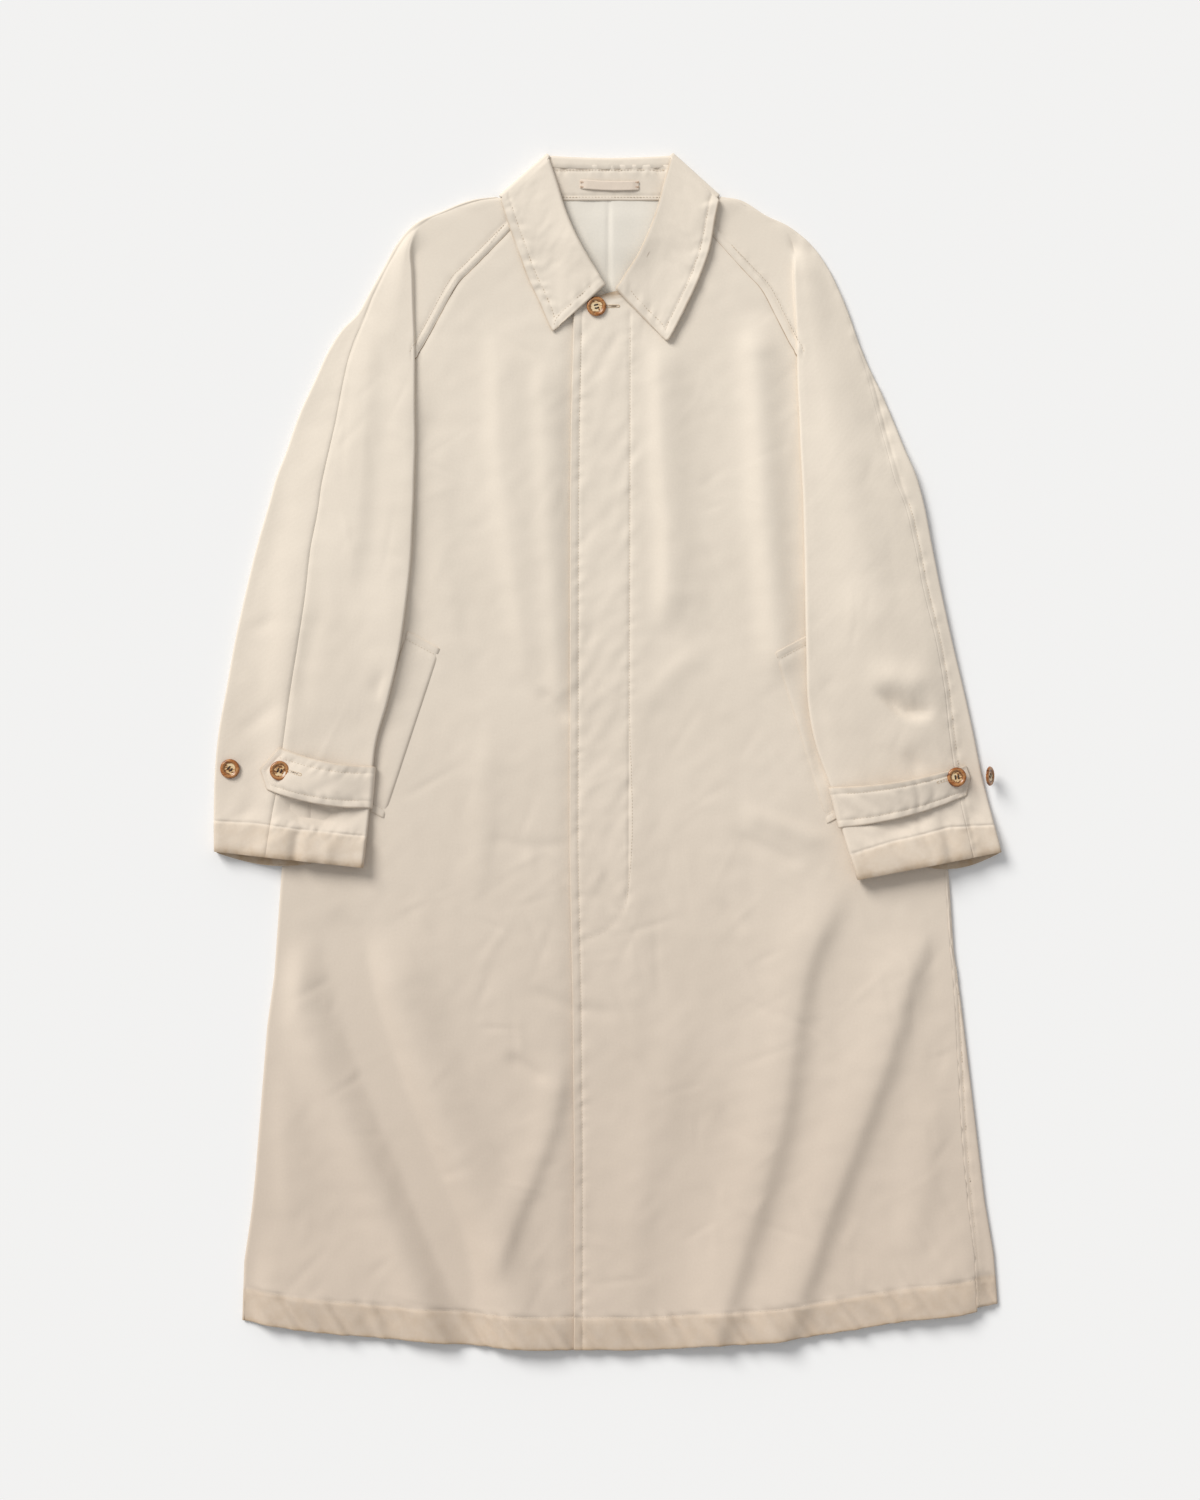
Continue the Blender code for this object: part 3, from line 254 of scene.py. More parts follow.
# Stitching of a cuff, as (out, y)
CUFF_STITCH = {
    "right": [(392.5, -70), (351.5, -72), (309.5, -78), (241.5, -85)],
    "left": [(244.5, -102), (279.5, -91), (310.5, -84), (340.5, -76), (383.5, -74)],
}
# Buttons: (x, y, tilt about Y in radians)
BUTTONS = {
    "button_front": (-11.0, 443.5, 0.0),
    "cuff_button_right_1": (-376.9, -17.8, 0.0),
    "cuff_button_right_2": (-326.5, -19.6, 0.03),
    "cuff_button_left_1": (347.5, -26.0, 0.12),
    "cuff_button_left_2": (379.5, -25.0, 1.1),
}
# Buttonholes: (x, y) of both ends
BUTTONHOLES = {
    "buttonhole_front": ((-1.0, 443.8), (11.0, 444.0)),
    "buttonhole_right": ((-317.0, -20.0), (-305.0, -23.5)),
    "buttonhole_left": ((328.5, -31.5), (339.0, -27.8)),
}
LOOP_ENDS = (-27.0, 31.0)
LOOP_Y = (566.0, 564.5)
LEAF_STITCH = 8.5       # from the collar's edge to its topstitching
TAB_WIDTH = 40.0
TAB_STITCH = 6.5        # from a cuff tab's edge to its topstitching
TAB_STITCH_ROW = 4      # that stitching's place on the tab's grid, and its stretch of columns
TAB_STITCH_COLUMNS = slice(5, 49)
SIDE_STITCH = 4.0       # from the side seam to the stitching on the back's strip
BACK_FALL_Z = 0.75      # middle of the collar's fall behind the neck, on the surface
STAND_LOW_Z = 4.5       # middle of the stand at the neck seam
STAND_STITCH_Y = (580.0, 553.0)
STAND_LOW_Y = 550.0
BUTTONHOLE_RISE = 0.75  # a buttonhole's thread over the middle of its cloth
BUTTON_FACE = 1.9       # height of a button's dished middle
THREAD_WIDTH = 0.7
STITCH_LAY = 0.38       # half the length of a stitch, as a share of the pitch

# Painted shade: the cloth darkens towards the hem for light that falls off down the coat
# Where the cloth starts to darken and is darkest, in metres from the middle, and its tint there
FALLOFF_SHADE_FROM = 0.36
FALLOFF_SHADE_TO = -0.60
FALLOFF_SHADE_TINT = (0.80, 0.755, 0.735)
LIGHT_FROM = (-0.66, 0.75, 0.72)
# Camera: lens and sensor in millimetres, and the height of surface in the picture in metres
LENS = 85.0
SENSOR = 36.0
PICTURE_HEIGHT = 1.5


def linear(code):
    """Linear light of an sRGB hex colour."""
    parts = [int(code[i:i + 2], 16) / 255.0 for i in (1, 3, 5)]
    return tuple(p / 12.92 if p <= 0.04045 else ((p + 0.055) / 1.055) ** 2.4 for p in parts)


def length(name, description, default, low, high, precision=4):
    """Property for a length in metres."""
    return bpy.props.FloatProperty(name=name, description=description, default=default,
                                   min=low, max=high, unit="LENGTH", precision=precision)


def colour(name, description, code):
    """Property for a colour, given as an sRGB hex code."""
    return bpy.props.FloatVectorProperty(name=name, description=description, subtype="COLOR",
                                         size=3, min=0.0, max=1.0, default=linear(code))


class CoatSizes(bpy.types.PropertyGroup):
    """Sizes that a maker of this coat would change."""
    wall: length("Cloth", "Thickness of a panel with its lining", 0.001, 0.0005, 0.002)
    collar_wall: length("Collar", "Thickness of the collar's two plies", 0.0016, 0.001, 0.003)
    puff: length("Sleeve puff", "How much a sleeve stands up between its edges", 0.0024, 0.0,
                 0.008)
    crease: length("Creases", "Height of the small creases of worn cloth", 0.0008, 0.0, 0.002)
    pucker: length("Seam pucker", "Height of the ripples along a stitched edge", 0.0006, 0.0,
                   0.002, precision=5)
    stitch: length("Stitch", "Pitch of the topstitching", 0.0032, 0.0015, 0.006)
    button: length("Button", "Diameter of the buttons", 0.0195, 0.015, 0.025)


class CoatColours(bpy.types.PropertyGroup):
    """Colours of the coat and of what it lies on."""
    cloth: colour("Gabardine", "Pale stone cotton gabardine", "#EADFD0")
    # Tan of rubbed edges, also used as painted shade where a piece sets its mask for it
    worn_and_shaded: colour("Worn edge", "Tan of the gabardine along hems and seams", "#B79F83")
    thread: colour("Thread", "Topstitching thread", "#D0C1AD")
    lining: colour("Lining", "Off-white cotton lining", "#E9E3D8")
    loop: colour("Loop", "Hanger loop's strap", "#E8D9C9")
    horn: colour("Horn", "Dark brown of the buttons", "#5A3416")
    amber: colour("Amber", "Light streaks of the buttons", "#B98552")
    floor: colour("Floor", "Plain pale studio floor", "#F4F4F4")


def size_of(name):
    """One of the coat's sizes, in millimetres."""
    return getattr(bpy.context.scene.coat_sizes, name) / MM


def soft(t):
    """Goes from 0 to 1 with level ends."""
    t = np.clip(t, 0.0, 1.0)
    return t * t * (3.0 - 2.0 * t)


def unit(v):
    """The same vectors with length 1, along the last axis."""
    return v / np.linalg.norm(v, axis=-1, keepdims=True)


def run(line):
    """Length along a line of points, from its start to each of them."""
    return np.concatenate([[0.0], np.cumsum(np.linalg.norm(np.diff(line, axis=0), axis=1))])


def out_at(table, y):
    """Reads a table of (out, y) or (x, y), given from the top down, at height y."""
    rows = np.asarray(table, float)[::-1]
    return np.interp(y, rows[:, 1], rows[:, 0])


def seam_out(side, y):
    """Where the side seam lies at height y: in from the side fold, under it or over it."""
    return out_at(SIDE_EDGE[side], y) - out_at(SIDE_SEAM, y)


def spline(table, count):
    """Smooth curve through the rows of a table, evenly spaced by the first two columns: cubic
    pieces whose slope at a row is that between its neighbours."""
    p = np.asarray(table, float)
    step = np.maximum(np.linalg.norm(np.diff(p[:, :2], axis=0), axis=1), 1e-6)
    s = np.concatenate([[0.0], np.cumsum(step)])
    slope = np.gradient(p, s, axis=0)
    t = np.linspace(0.0, s[-1], count)
    i = np.clip(np.searchsorted(s, t, side="right") - 1, 0, len(s) - 2)
    h = (s[i + 1] - s[i])[:, None]
    f = (t - s[i])[:, None] / h
    return ((2 * f ** 3 - 3 * f ** 2 + 1) * p[i] + (f ** 3 - 2 * f ** 2 + f) * h * slope[i]
            + (3 * f ** 2 - 2 * f ** 3) * p[i + 1] + (f ** 3 - f ** 2) * h * slope[i + 1])


HEM_CURVE = spline(HEM, 160)


def hem_y(x):
    """Height of the hem's edge at x."""
    return np.interp(x, HEM_CURVE[:, 0], HEM_CURVE[:, 1])


def near_line(x, y, points):
    """Signed distance from a line of points, above 0 on its left, and the way along it."""
    p = np.asarray(points, float)
    best = np.full(np.shape(x), 1e9)
    sign = np.ones(np.shape(x))
    along = np.zeros(np.shape(x))
    done = 0.0
    for a, b in zip(p[:-1], p[1:]):
        d = b - a
        long = np.hypot(*d)
        t = np.clip(((x - a[0]) * d[0] + (y - a[1]) * d[1]) / long ** 2, 0.0, 1.0)
        ex, ey = x - a[0] - t * d[0], y - a[1] - t * d[1]
        gap = np.hypot(ex, ey)
        closer = gap < best
        best = np.where(closer, gap, best)
        sign = np.where(closer, np.where(d[0] * ey - d[1] * ex >= 0, 1.0, -1.0), sign)
        along = np.where(closer, done + t * long, along)
        done += long
    return best * sign, along, done


def noise(x, y, cell, seed):
    """Smooth random field from -1 to 1: values on a square lattice, eased in between."""
    grid = np.random.default_rng(seed).uniform(-1.0, 1.0, (64, 64))
    u, v = x / cell + 1000.0, y / cell + 1000.0
    i, j = np.floor(u).astype(int), np.floor(v).astype(int)
    fu, fv = soft(u - i), soft(v - j)
    i, j, i1, j1 = i % 64, j % 64, (i + 1) % 64, (j + 1) % 64
    low = grid[i, j] * (1 - fu) + grid[i1, j] * fu
    high = grid[i, j1] * (1 - fu) + grid[i1, j1] * fu
    return low * (1 - fv) + high * fv


def folds(x, y, table):
    """Sum of the listed folds: height * exp(-(distance / width)^2), fading at both ends."""
    total = np.zeros(np.shape(x))
    for height, left, right, points in table:
        d, along, long = near_line(x, y, spline(points, 5 * len(points)))
        width = np.where(d >= 0, left, right)
        fade = min(0.45 * long, 2.2 * max(left, right))
        ends = soft(along / fade) * soft((long - along) / fade)
        total = total + height * ends * np.exp(-((d / width) ** 2))
    return total


def crease_table(count, box, seed):
    """Short straight creases scattered over a box: ends, width and height of each."""
    r = np.random.default_rng(seed)
    x = r.uniform(box[0], box[1], count)
    y = r.uniform(box[2], box[3], count)
    angle = r.choice([0.6, 1.1, 1.9, 2.5], count) + r.normal(0.0, 0.25, count)
    long = r.uniform(9.0, 34.0, count)
    width = r.uniform(2.2, 4.6, count)
    height = r.uniform(-1.0, 0.8, count)
    return np.stack([x, y, np.cos(angle), np.sin(angle), long, width, height], axis=1)


SKIRT_CREASES = crease_table(320, (-350.0, 375.0, -585.0, 60.0), 4)
CHEST_CREASES = crease_table(70, (-190.0, 190.0, 60.0, 440.0), 9)
SLEEVE_CREASES = {
    "right": crease_table(70, (-385.0, -195.0, -110.0, 500.0), 12),
    "left": crease_table(90, (190.0, 385.0, -110.0, 500.0), 13),
}


def creases(x, y, table, height):
    """Sum of short creases: a narrow bell across each, a wide one along it."""
    total = np.zeros(np.shape(x))
    for cx, cy, ux, uy, long, width, high in table:
        along = (x - cx) * ux + (y - cy) * uy
        across = (x - cx) * uy - (y - cy) * ux
        total = total + high * np.exp(-((along / long) ** 2) - (across / width) ** 2)
    return total * height


def stitched(d, along, seed, strength=1.0, reach=6.5):
    """Relief of a stitched line: the thread's groove, and ripples that fade away from it."""
    pucker = size_of("pucker") * strength
    ripple = noise(along + 0.5 * d, np.zeros(np.shape(along)), 5.5, seed)
    ripple = ripple + 0.35 * noise(along - 0.3 * d, 0.0 * along, 3.6, seed + 100)
    return -0.75 * np.exp(-((d / 1.5) ** 2)) + ripple * pucker * np.exp(-((d / reach) ** 2))


def collar_low_y(x):
    """Lower edge of the collar's fall behind the neck."""
    return 513.0 + 42.0 * (x / 110.0) ** 2


def floor_mid(x, y):
    """Middle of a sheet that lies on the surface, and over the collar's back fall."""
    return GROUND + soft((y - collar_low_y(x) + 38.0) / 30.0) * COLLAR_LAYER


def inside_body(x, y):
    """Distance in from the nearer side fold."""
    right = out_at(SIDE_EDGE["right"], y) + x
    left = out_at(SIDE_EDGE["left"], y) - x
    return np.maximum(np.minimum(right, left), 0.0)


def placket_relief(x, y):
    """Slanting wrinkles between the fly's edge and its stitching, weaker beyond it."""
    across = 0.87 * x - 0.5 * y
    along = 0.5 * x + 0.87 * y
    wrinkle = noise(across, along * 0.3, 9.0, 24) + 0.5 * noise(across, along * 0.4, 5.0, 25)
    wide = soft((x + 30.0) / 10.0) * (1.0 - soft((x - 14.0) / 34.0))
    return 0.7 * wrinkle * wide * soft((y + 190.0) / 60.0)


def front_mid(x, y, fine=False):
    """Middle of the fronts: a low loft, the listed folds and a slow swell, and with
    fine also the small creases."""
    inside = inside_body(x, y)
    relief = folds(x, y, BODY_FOLDS) + 0.7 * noise(x, y * 0.6, 55.0, 1)
    up = y - hem_y(x)
    lift = np.interp(x, *np.array(HEM_LIFT, float).T)
    relief = relief + lift * soft(1.0 - up / 120.0) * soft(inside / 18.0)
    if fine:
        size = size_of("crease")
        relief = relief + creases(x, y, SKIRT_CREASES, size)
        relief = relief + creases(x, y, CHEST_CREASES, size * 0.6)
        relief = relief + 0.28 * noise(x, y, 13.0, 2) + placket_relief(x, y)
    loft = BODY_LOFT * soft(inside / 120.0)
    above = BODY_RISE - LAYER - 0.2 + loft + relief * soft(inside / 30.0)
    above = (above + np.sqrt(above * above + 1.0)) / 2
    return floor_mid(x, y) + LAYER + 0.2 + above


def fly_x(y):
    """The left front's edge."""
    return out_at(FLY_EDGE, y)


def fly_lift(x):
    """The left front lies on the right one as far as the underlap goes."""
    return LAYER * (1.0 - soft((x - UNDERLAP_X - 1.0) / 30.0))


def hem_relief(x, y):
    """The turned-up hem: thicker below its stitching, with ripples that lean across it."""
    up = y - hem_y(x)
    lean = noise(x + 0.7 * up, up * 0.25, 8.0, 21) * 4.6 * size_of("pucker")
    inside = soft((HEM_DEPTH + 6.0 - up) / 12.0)
    return (0.5 * soft((HEM_DEPTH - up) / 2.5) + lean * inside
            + stitched(up - HEM_DEPTH, x, 22))


def seam_dip(side, x, y):
    """A front sinks towards its raglan seam."""
    d, _, _ = near_line(SIGN[side] * x, y, raglan(side)[::4])
    return -0.8 * np.exp(-((d / 2.4) ** 2))


def right_front_z(x, y):
    """Middle of the right front, with its hem; it sinks under the fly's edge."""
    dip = 1.7 * np.exp(-(((x - fly_x(y)) / 10.0) ** 2))
    return front_mid(x, y, True) - dip + seam_dip("right", x, y) + hem_relief(x, y)


def left_front_z(x, y):
    """Middle of the left front: over the right one at the fly, with hem and fly stitching."""
    edge, along, _ = near_line(x, y, [(p[0] + EDGE_STITCH, p[1]) for p in FLY_EDGE])
    fly, fly_along, _ = near_line(x, y, FLY_STITCH)
    relief = stitched(edge, along, 31, 1.3, 5.5) + stitched(fly, fly_along, 32, 0.7)
    relief = relief + 0.7 * np.exp(-(((x - fly_x(y)) / 6.0) ** 2)) + seam_dip("left", x, y)
    return front_mid(x, y, True) + fly_lift(x) + relief + hem_relief(x, y)


def back_strip_z(x, y):
    """The back where it comes over the left side fold as far as the side seam."""
    strip = stitched(x - seam_out("left", y) - SIDE_STITCH, y, 41, 2.0)
    return np.maximum(front_mid(x, y), GROUND + BODY_RISE) + hem_relief(x, y) + strip


def sections(side, count):
    """A sleeve's sections, made smooth: outer edge, fold, end and their numbers in between."""
    t = np.array(SLEEVE[side], float)
    outer, fold, end = t[:, 0:2], t[:, 2:4], t[:, 4:6]
    back_way = unit(outer - fold)
    start, stop = (np.array(p, float) for p in UNDERARM_SEAM[side])
    along = stop - start
    cross = back_way[:, 0] * along[1] - back_way[:, 1] * along[0]
    reach = ((start - fold)[:, 0] * along[1] - (start - fold)[:, 1] * along[0]) / cross
    number = np.arange(len(t), dtype=float)
    width = np.where(t[:, 7] > 0, t[:, 7], reach)
    width = np.where(number >= SEAM_ROW, np.maximum(width, 0.0), 0.0)
    table = np.column_stack([outer, fold, end, t[:, 6], width, number])
    return spline(table, count)


def pocket_lift(y):
    """The sleeve lies on the pocket's welt from here down."""
    return (LAYER + 0.3) * soft((175.0 - y) / 45.0)


def over_front(side, out, y):
    """Middle of a sheet that lies on the front, and beside it comes down to the surface."""
    x = SIGN[side] * out
    ground = floor_mid(x, y)
    beyond = out - out_at(SIDE_EDGE[side], y)
    level = front_mid(x, y) + LAYER + pocket_lift(y)
    return ground + soft(1.0 - (beyond - 1.5) / DRAPE) * (level - ground)


def sleeve_low(side, out, y):
    """Lower layer of a sleeve's back: on the surface down to the underarm."""
    ground = floor_mid(SIGN[side] * out, y)
    return ground + soft((UNDERARM_Y + 6.0 - y) / 26.0) * (over_front(side, out, y) - ground)


SLEEVE_ROWS = {side: sections(side, 90) for side in SLEEVE}


def raglan(side):
    """The raglan seam on top, as a smooth line of (out, y)."""
    rows = SLEEVE_ROWS[side]
    return rows[rows[:, 8] <= SEAM_ROW + 0.3][:, 4:6]


def offset_line(points, distance):
    """The line shifted sideways, to its left."""
    p = np.asarray(points, float)
    way = unit(np.gradient(p, axis=0))
    return p + distance * np.stack([-way[:, 1], way[:, 0]], axis=1)


def overarm(side):
    """The overarm seam, as a smooth line of (out, y)."""
    rows = SLEEVE_ROWS[side]
    return rows[:, 0:2] + unit(rows[:, 4:6] - rows[:, 0:2]) * rows[:, 6:7]


def raglan_relief(side, out, y):
    """The sleeve beside its raglan seam: the seam's groove, its allowance below and the
    topstitching."""
    d, along, _ = near_line(out, y, raglan(side)[::3])
    groove = 0.5 * soft((EDGE_STITCH - np.abs(d)) / 2.0) - 1.0 * np.exp(-((d / 1.6) ** 2))
    return groove + stitched(np.abs(d) - EDGE_STITCH, along, 53, 1.2)


def sleeve_top(side, out, y):
    """Upper layer of a sleeve: a yoke, a step up where the sleeve folds over it, a puff between
    its edges, folds, creases and the stitched seams."""
    edge = out_at(SLEEVE_ROWS[side][:, 0:2], y)
    fold = out_at(SLEEVE_ROWS[side][:, 2:4], y)
    share = (edge - out) / np.maximum(edge - fold, 1.0)
    x = SIGN[side] * out
    high = LAYER + SLEEVE_RISE
    step = high * soft((STEP_TOP[side] - y) / 30.0)
    outer = floor_mid(x, y) + SLEEVE_RISE
    upper = outer + soft(share / 0.75) * (front_mid(x, y) + step - outer)
    lower = over_front(side, out, y) + SLEEVE_RISE
    base = upper + soft((UNDERARM_Y + 60.0 - y) / 60.0) * (lower - upper)
    rise, crest, fall = SLEEVE_SWELL[side]
    swell = rise * soft(share / crest) * (1.0 - fall * soft((share - crest) / (1.0 - crest)))
    swell = swell * soft((420.0 - y) / 220.0) * (1.0 - 0.6 * soft((60.0 - y) / 80.0))
    base = base + size_of("puff") * swell
    within = soft(share / 0.10) * soft((1.02 - share) / 0.10)
    base = base + within * (folds(x, y, SLEEVE_FOLDS[side]) + 0.5 * noise(x, y * 0.5, 38.0, 51))
    base = base + within * creases(x, y, SLEEVE_CREASES[side], size_of("crease") * 0.8)
    base = base + 0.25 * noise(x, y, 13.0, 52)
    slant = noise(0.48 * out + 0.88 * y, 0.3 * (0.88 * out - 0.48 * y), 8.0, 57)
    base = base + 0.8 * within * soft((20.0 - y) / 60.0) * slant
    base = base + raglan_relief(side, out, y)
    d, along, _ = near_line(out, y, overarm(side)[::4])
    in_from_seam, strength = (ARM_STITCH, 2.2) if side == "left" else (0.0, 0.8)
    base = base + stitched(d - in_from_seam, along, 54, strength)
    d, along, _ = near_line(out, y, CUFF_STITCH[side])
    return base + 1.4 * stitched(d, along, 55, 1.2)


def normals_of(grid):
    """Unit normals of a grid of points: down its rows crossed with along them."""
    n = np.cross(np.gradient(grid, axis=0), np.gradient(grid, axis=1))
    return n / np.maximum(np.linalg.norm(n, axis=2, keepdims=True), 1e-9)


def arc_lengths(grid):
    """The grid's own flat coordinates: lengths along its rows and down its middle column."""
    across = np.linalg.norm(np.diff(grid, axis=1), axis=2)
    u = np.concatenate([np.zeros((len(grid), 1)), np.cumsum(across, axis=1)], axis=1)
    u = u - u[:, -1:] / 2
    down = np.linalg.norm(np.diff(grid, axis=0), axis=2).mean(axis=1)
    v = np.concatenate([[0.0], np.cumsum(down)])
    return np.stack([u, -np.broadcast_to(v[:, None], u.shape)], axis=2)


def add_mesh(name, points, faces, material, uv=None, wear_and_shade=None, sharp=1.05):
    """Makes an object of points in millimetres. uv and wear_and_shade have a value for each point.
    """
    mesh = bpy.data.meshes.new(name)
    mesh.from_pydata((np.asarray(points) * MM).tolist(), [], faces)
    mesh.materials.append(material)
    corner = np.zeros(len(mesh.loops), int)
    mesh.loops.foreach_get("vertex_index", corner)
    if uv is None:
        uv = np.asarray(points)[:, :2]
    layer = mesh.uv_layers.new(name="cut")
    layer.data.foreach_set("uv", (np.asarray(uv) * MM)[corner].ravel())
    worn_and_shaded = mesh.attributes.new("worn_and_shaded", "FLOAT", "POINT")
    worn_and_shaded.data.foreach_set("value", np.zeros(len(points)) if wear_and_shade is None else wear_and_shade)
    mesh.shade_smooth()
    mesh.set_sharp_from_angle(angle=sharp)
    mesh.update()
    obj = bpy.data.objects.new(name, mesh)
    bpy.context.scene.collection.objects.link(obj)
    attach(obj, "root")
    return obj


def shell(name, grid, wall, material, keep=None, wear_and_shade=None):
    """Closed cloth round a grid of points [row, column]: the grid moved by half the wall to
    both sides along its normals, joined by a rim that bulges by half the wall."""
    rows, columns = grid.shape[:2]
    count = rows * columns
    number = np.arange(count).reshape(rows, columns)
    kept = np.ones((rows - 1, columns - 1), bool) if keep is None else keep
    r, c = np.nonzero(kept)
    quads = np.stack([number[r, c], number[r + 1, c], number[r + 1, c + 1], number[r, c + 1]], 1)
    flat = grid.reshape(-1, 3)
    normal = normals_of(grid).reshape(-1, 3)
    edges = np.concatenate([quads[:, [i, (i + 1) % 4]] for i in range(4)])
    key = np.sort(edges, axis=1)
    _, inverse, uses = np.unique(key[:, 0] * count + key[:, 1], return_inverse=True,
                                 return_counts=True)
    rim = edges[uses[inverse.ravel()] == 1]
    centre = flat[quads].mean(axis=1)
    pull = np.zeros((count, 3))
    for i in range(4):
        np.add.at(pull, quads[:, i], flat[quads[:, i]] - centre)
    pull = pull - (pull * normal).sum(axis=1, keepdims=True) * normal
    pull = pull / np.maximum(np.linalg.norm(pull, axis=1, keepdims=True), 1e-9)
    points = np.concatenate([flat + normal * wall / 2, flat - normal * wall / 2,
                             flat + pull * wall * 0.45])
    a, b = rim[:, 0], rim[:, 1]
    faces = np.concatenate([
        quads, quads[:, ::-1] + count,
        np.stack([b, a, a + 2 * count, b + 2 * count], 1),
        np.stack([b + 2 * count, a + 2 * count, a + count, b + count], 1)])
    used, faces = np.unique(faces, return_inverse=True)
    faces = faces.reshape(-1, 4)
    uv = np.tile(arc_lengths(grid).reshape(-1, 2), (3, 1))
    worn_and_shaded = np.zeros(count) if wear_and_shade is None else np.clip(wear_and_shade, 0.0, 1.0).ravel()
    return add_mesh(name, points[used], faces.tolist(), material, uv[used],
                    np.tile(worn_and_shaded, 3)[used])


def spread_out(start, stop, left, right, count):
    """Columns of a row from start to stop: fixed offsets at each end, evenly spaced between."""
    left, right = np.asarray(left, float), np.asarray(right, float)
    width = stop - start
    share = np.clip(width / (2.0 * (left[-1] + right[-1])), 0.0, 1.0)[:, None]
    a = start[:, None] + left * share
    b = stop[:, None] - right[::-1] * share
    t = np.linspace(0.0, 1.0, count)[1:-1]
    middle = a[:, -1:] * (1 - t) + b[:, :1] * t
    return np.concatenate([a, middle, b], axis=1)


def body_rows():
    """Row heights of a body panel: every 3 mm, closer at the hem's edge and stitching."""
    high = np.arange(PANEL_TOP, HEM_DROP_FROM, -3.0)
    low = np.arange(HEM_DROP_FROM, HEM_Y + 42.0, -3.0)
    hem = HEM_Y + np.array([41.0, 38.0, 35.5, 33.5, 32.0, 30.5, 28.5, 25.0, 21.0, 17.0, 13.0,
                            9.0, 6.0, 3.5, 1.6, 0.0])
    return np.concatenate([high, low, hem])


def hemmed(x, y, short=0.0):
    """Bends the lowest rows down to the hem's curve."""
    share = np.clip((HEM_DROP_FROM - y) / (HEM_DROP_FROM - HEM_Y), 0.0, 1.0)
    return y + share * (hem_y(x) + short - HEM_Y)


def turn(fold, low, high, count):
    """Half round from a lower to an upper sheet, bulging to the fold."""
    t = np.linspace(-np.pi / 2, np.pi / 2, count)
    radius = (high - low)[:, None] / 2
    out = fold[:, None] - radius + radius * np.cos(t)
    return out, (high + low)[:, None] / 2 + radius * np.sin(t)


def raglan_out(side, y):
    """Where the raglan seam lies at height y."""
    return out_at(np.concatenate([raglan(side), UNDERARM_SEAM[side][1:]]), y)


def placed(side, flat, z):
    """Grid of points of a side, from (out, y) in plan and the heights."""
    return np.stack([SIGN[side] * flat[..., 0], flat[..., 1], z], axis=2)


def near_edges(distance, reach=5.0):
    """1 at an edge, falling to 0 over the reach."""
    return np.clip(1.0 - distance / reach, 0.0, 1.0) ** 1.5


def hem_wear(x, y):
    """Where the hem has yellowed: its edge most, the turned-up band a little."""
    up = y - hem_y(x)
    return np.maximum(near_edges(up, 9.0) * 0.9, 0.34 * soft((HEM_DEPTH + 1.0 - up) / 3.0))


def front_edge(side, y, below):
    """A front's edge at the middle: the neckline, and below that the given place."""
    neck = NECKLINE[side]
    return np.where(y > neck[-1][1], out_at(neck, y), below)


def back_grid():
    """Back panel: flat on the surface, up over the left side fold to the side seam."""
    y = body_rows()[::2]
    low = y <= UNDERARM_Y
    start = -np.where(low, seam_out("right", y), raglan_out("right", y))
    fold = out_at(SIDE_EDGE["left"], y)
    stop = np.where(low, fold - BODY_RISE / 2, raglan_out("left", y))
    flat_x = spread_out(start, stop, [0.0, 2.0, 6.0], [0.0, 2.0, 6.0], 70)
    flat_z = floor_mid(flat_x, y[:, None])
    base = np.full(y.shape, GROUND)
    bend_x, bend_z = turn(fold, base, base + BODY_RISE, 7)
    t = np.linspace(0.0, 1.0, 10)[1:]
    strip_x = (fold - BODY_RISE / 2)[:, None] * (1 - t) + seam_out("left", y)[:, None] * t
    x = np.concatenate([flat_x, bend_x[:, 1:], strip_x], axis=1)
    yy = hemmed(x, y[:, None], BACK_SHORT)
    strip_z = back_strip_z(strip_x, yy[:, -strip_x.shape[1]:])
    z = np.concatenate([flat_z, bend_z[:, 1:], strip_z], axis=1)
    keep = np.ones((len(y) - 1, x.shape[1] - 1), bool)
    keep[:, flat_x.shape[1] - 1:] = low[:-1, None]
    wear_and_shade = hem_wear(x, yy - BACK_SHORT)
    return np.stack([x, yy, z], axis=2), keep, wear_and_shade


def front_right_grid():
    """Right front: from the seam below, round the side fold and across to the underlap."""
    y = body_rows()
    low = y <= UNDERARM_Y
    edge = front_edge("right", y, UNDERLAP_X)
    fold = out_at(SIDE_EDGE["right"], y)
    base = np.full(y.shape, GROUND)
    t = np.linspace(0.0, 1.0, 5)[:-1]
    under_x = -(seam_out("right", y)[:, None] * (1 - t) + (fold - BODY_RISE / 2)[:, None] * t)
    bend_out, bend_z = turn(fold, base, base + BODY_RISE, 9)
    start = np.where(low, -(fold - BODY_RISE / 2), -raglan_out("right", y))
    top_x = spread_out(start, edge, [0.0, 1.5, 4.0, 8.0], [0.0, 3.0], 88)
    x = np.concatenate([under_x, -bend_out[:, :-1], top_x], axis=1)
    yy = hemmed(x, y[:, None])
    top_z = right_front_z(top_x, yy[:, -top_x.shape[1]:])
    z = np.concatenate([np.full(under_x.shape, GROUND), bend_z[:, :-1], top_z], axis=1)
    keep = np.ones((len(y) - 1, x.shape[1] - 1), bool)
    keep[:, :x.shape[1] - top_x.shape[1]] = low[:-1, None]
    wear_and_shade = hem_wear(x, yy)
    wear_and_shade[~low, x.shape[1] - top_x.shape[1]] = 1.0
    return np.stack([x, yy, z], axis=2), keep, wear_and_shade


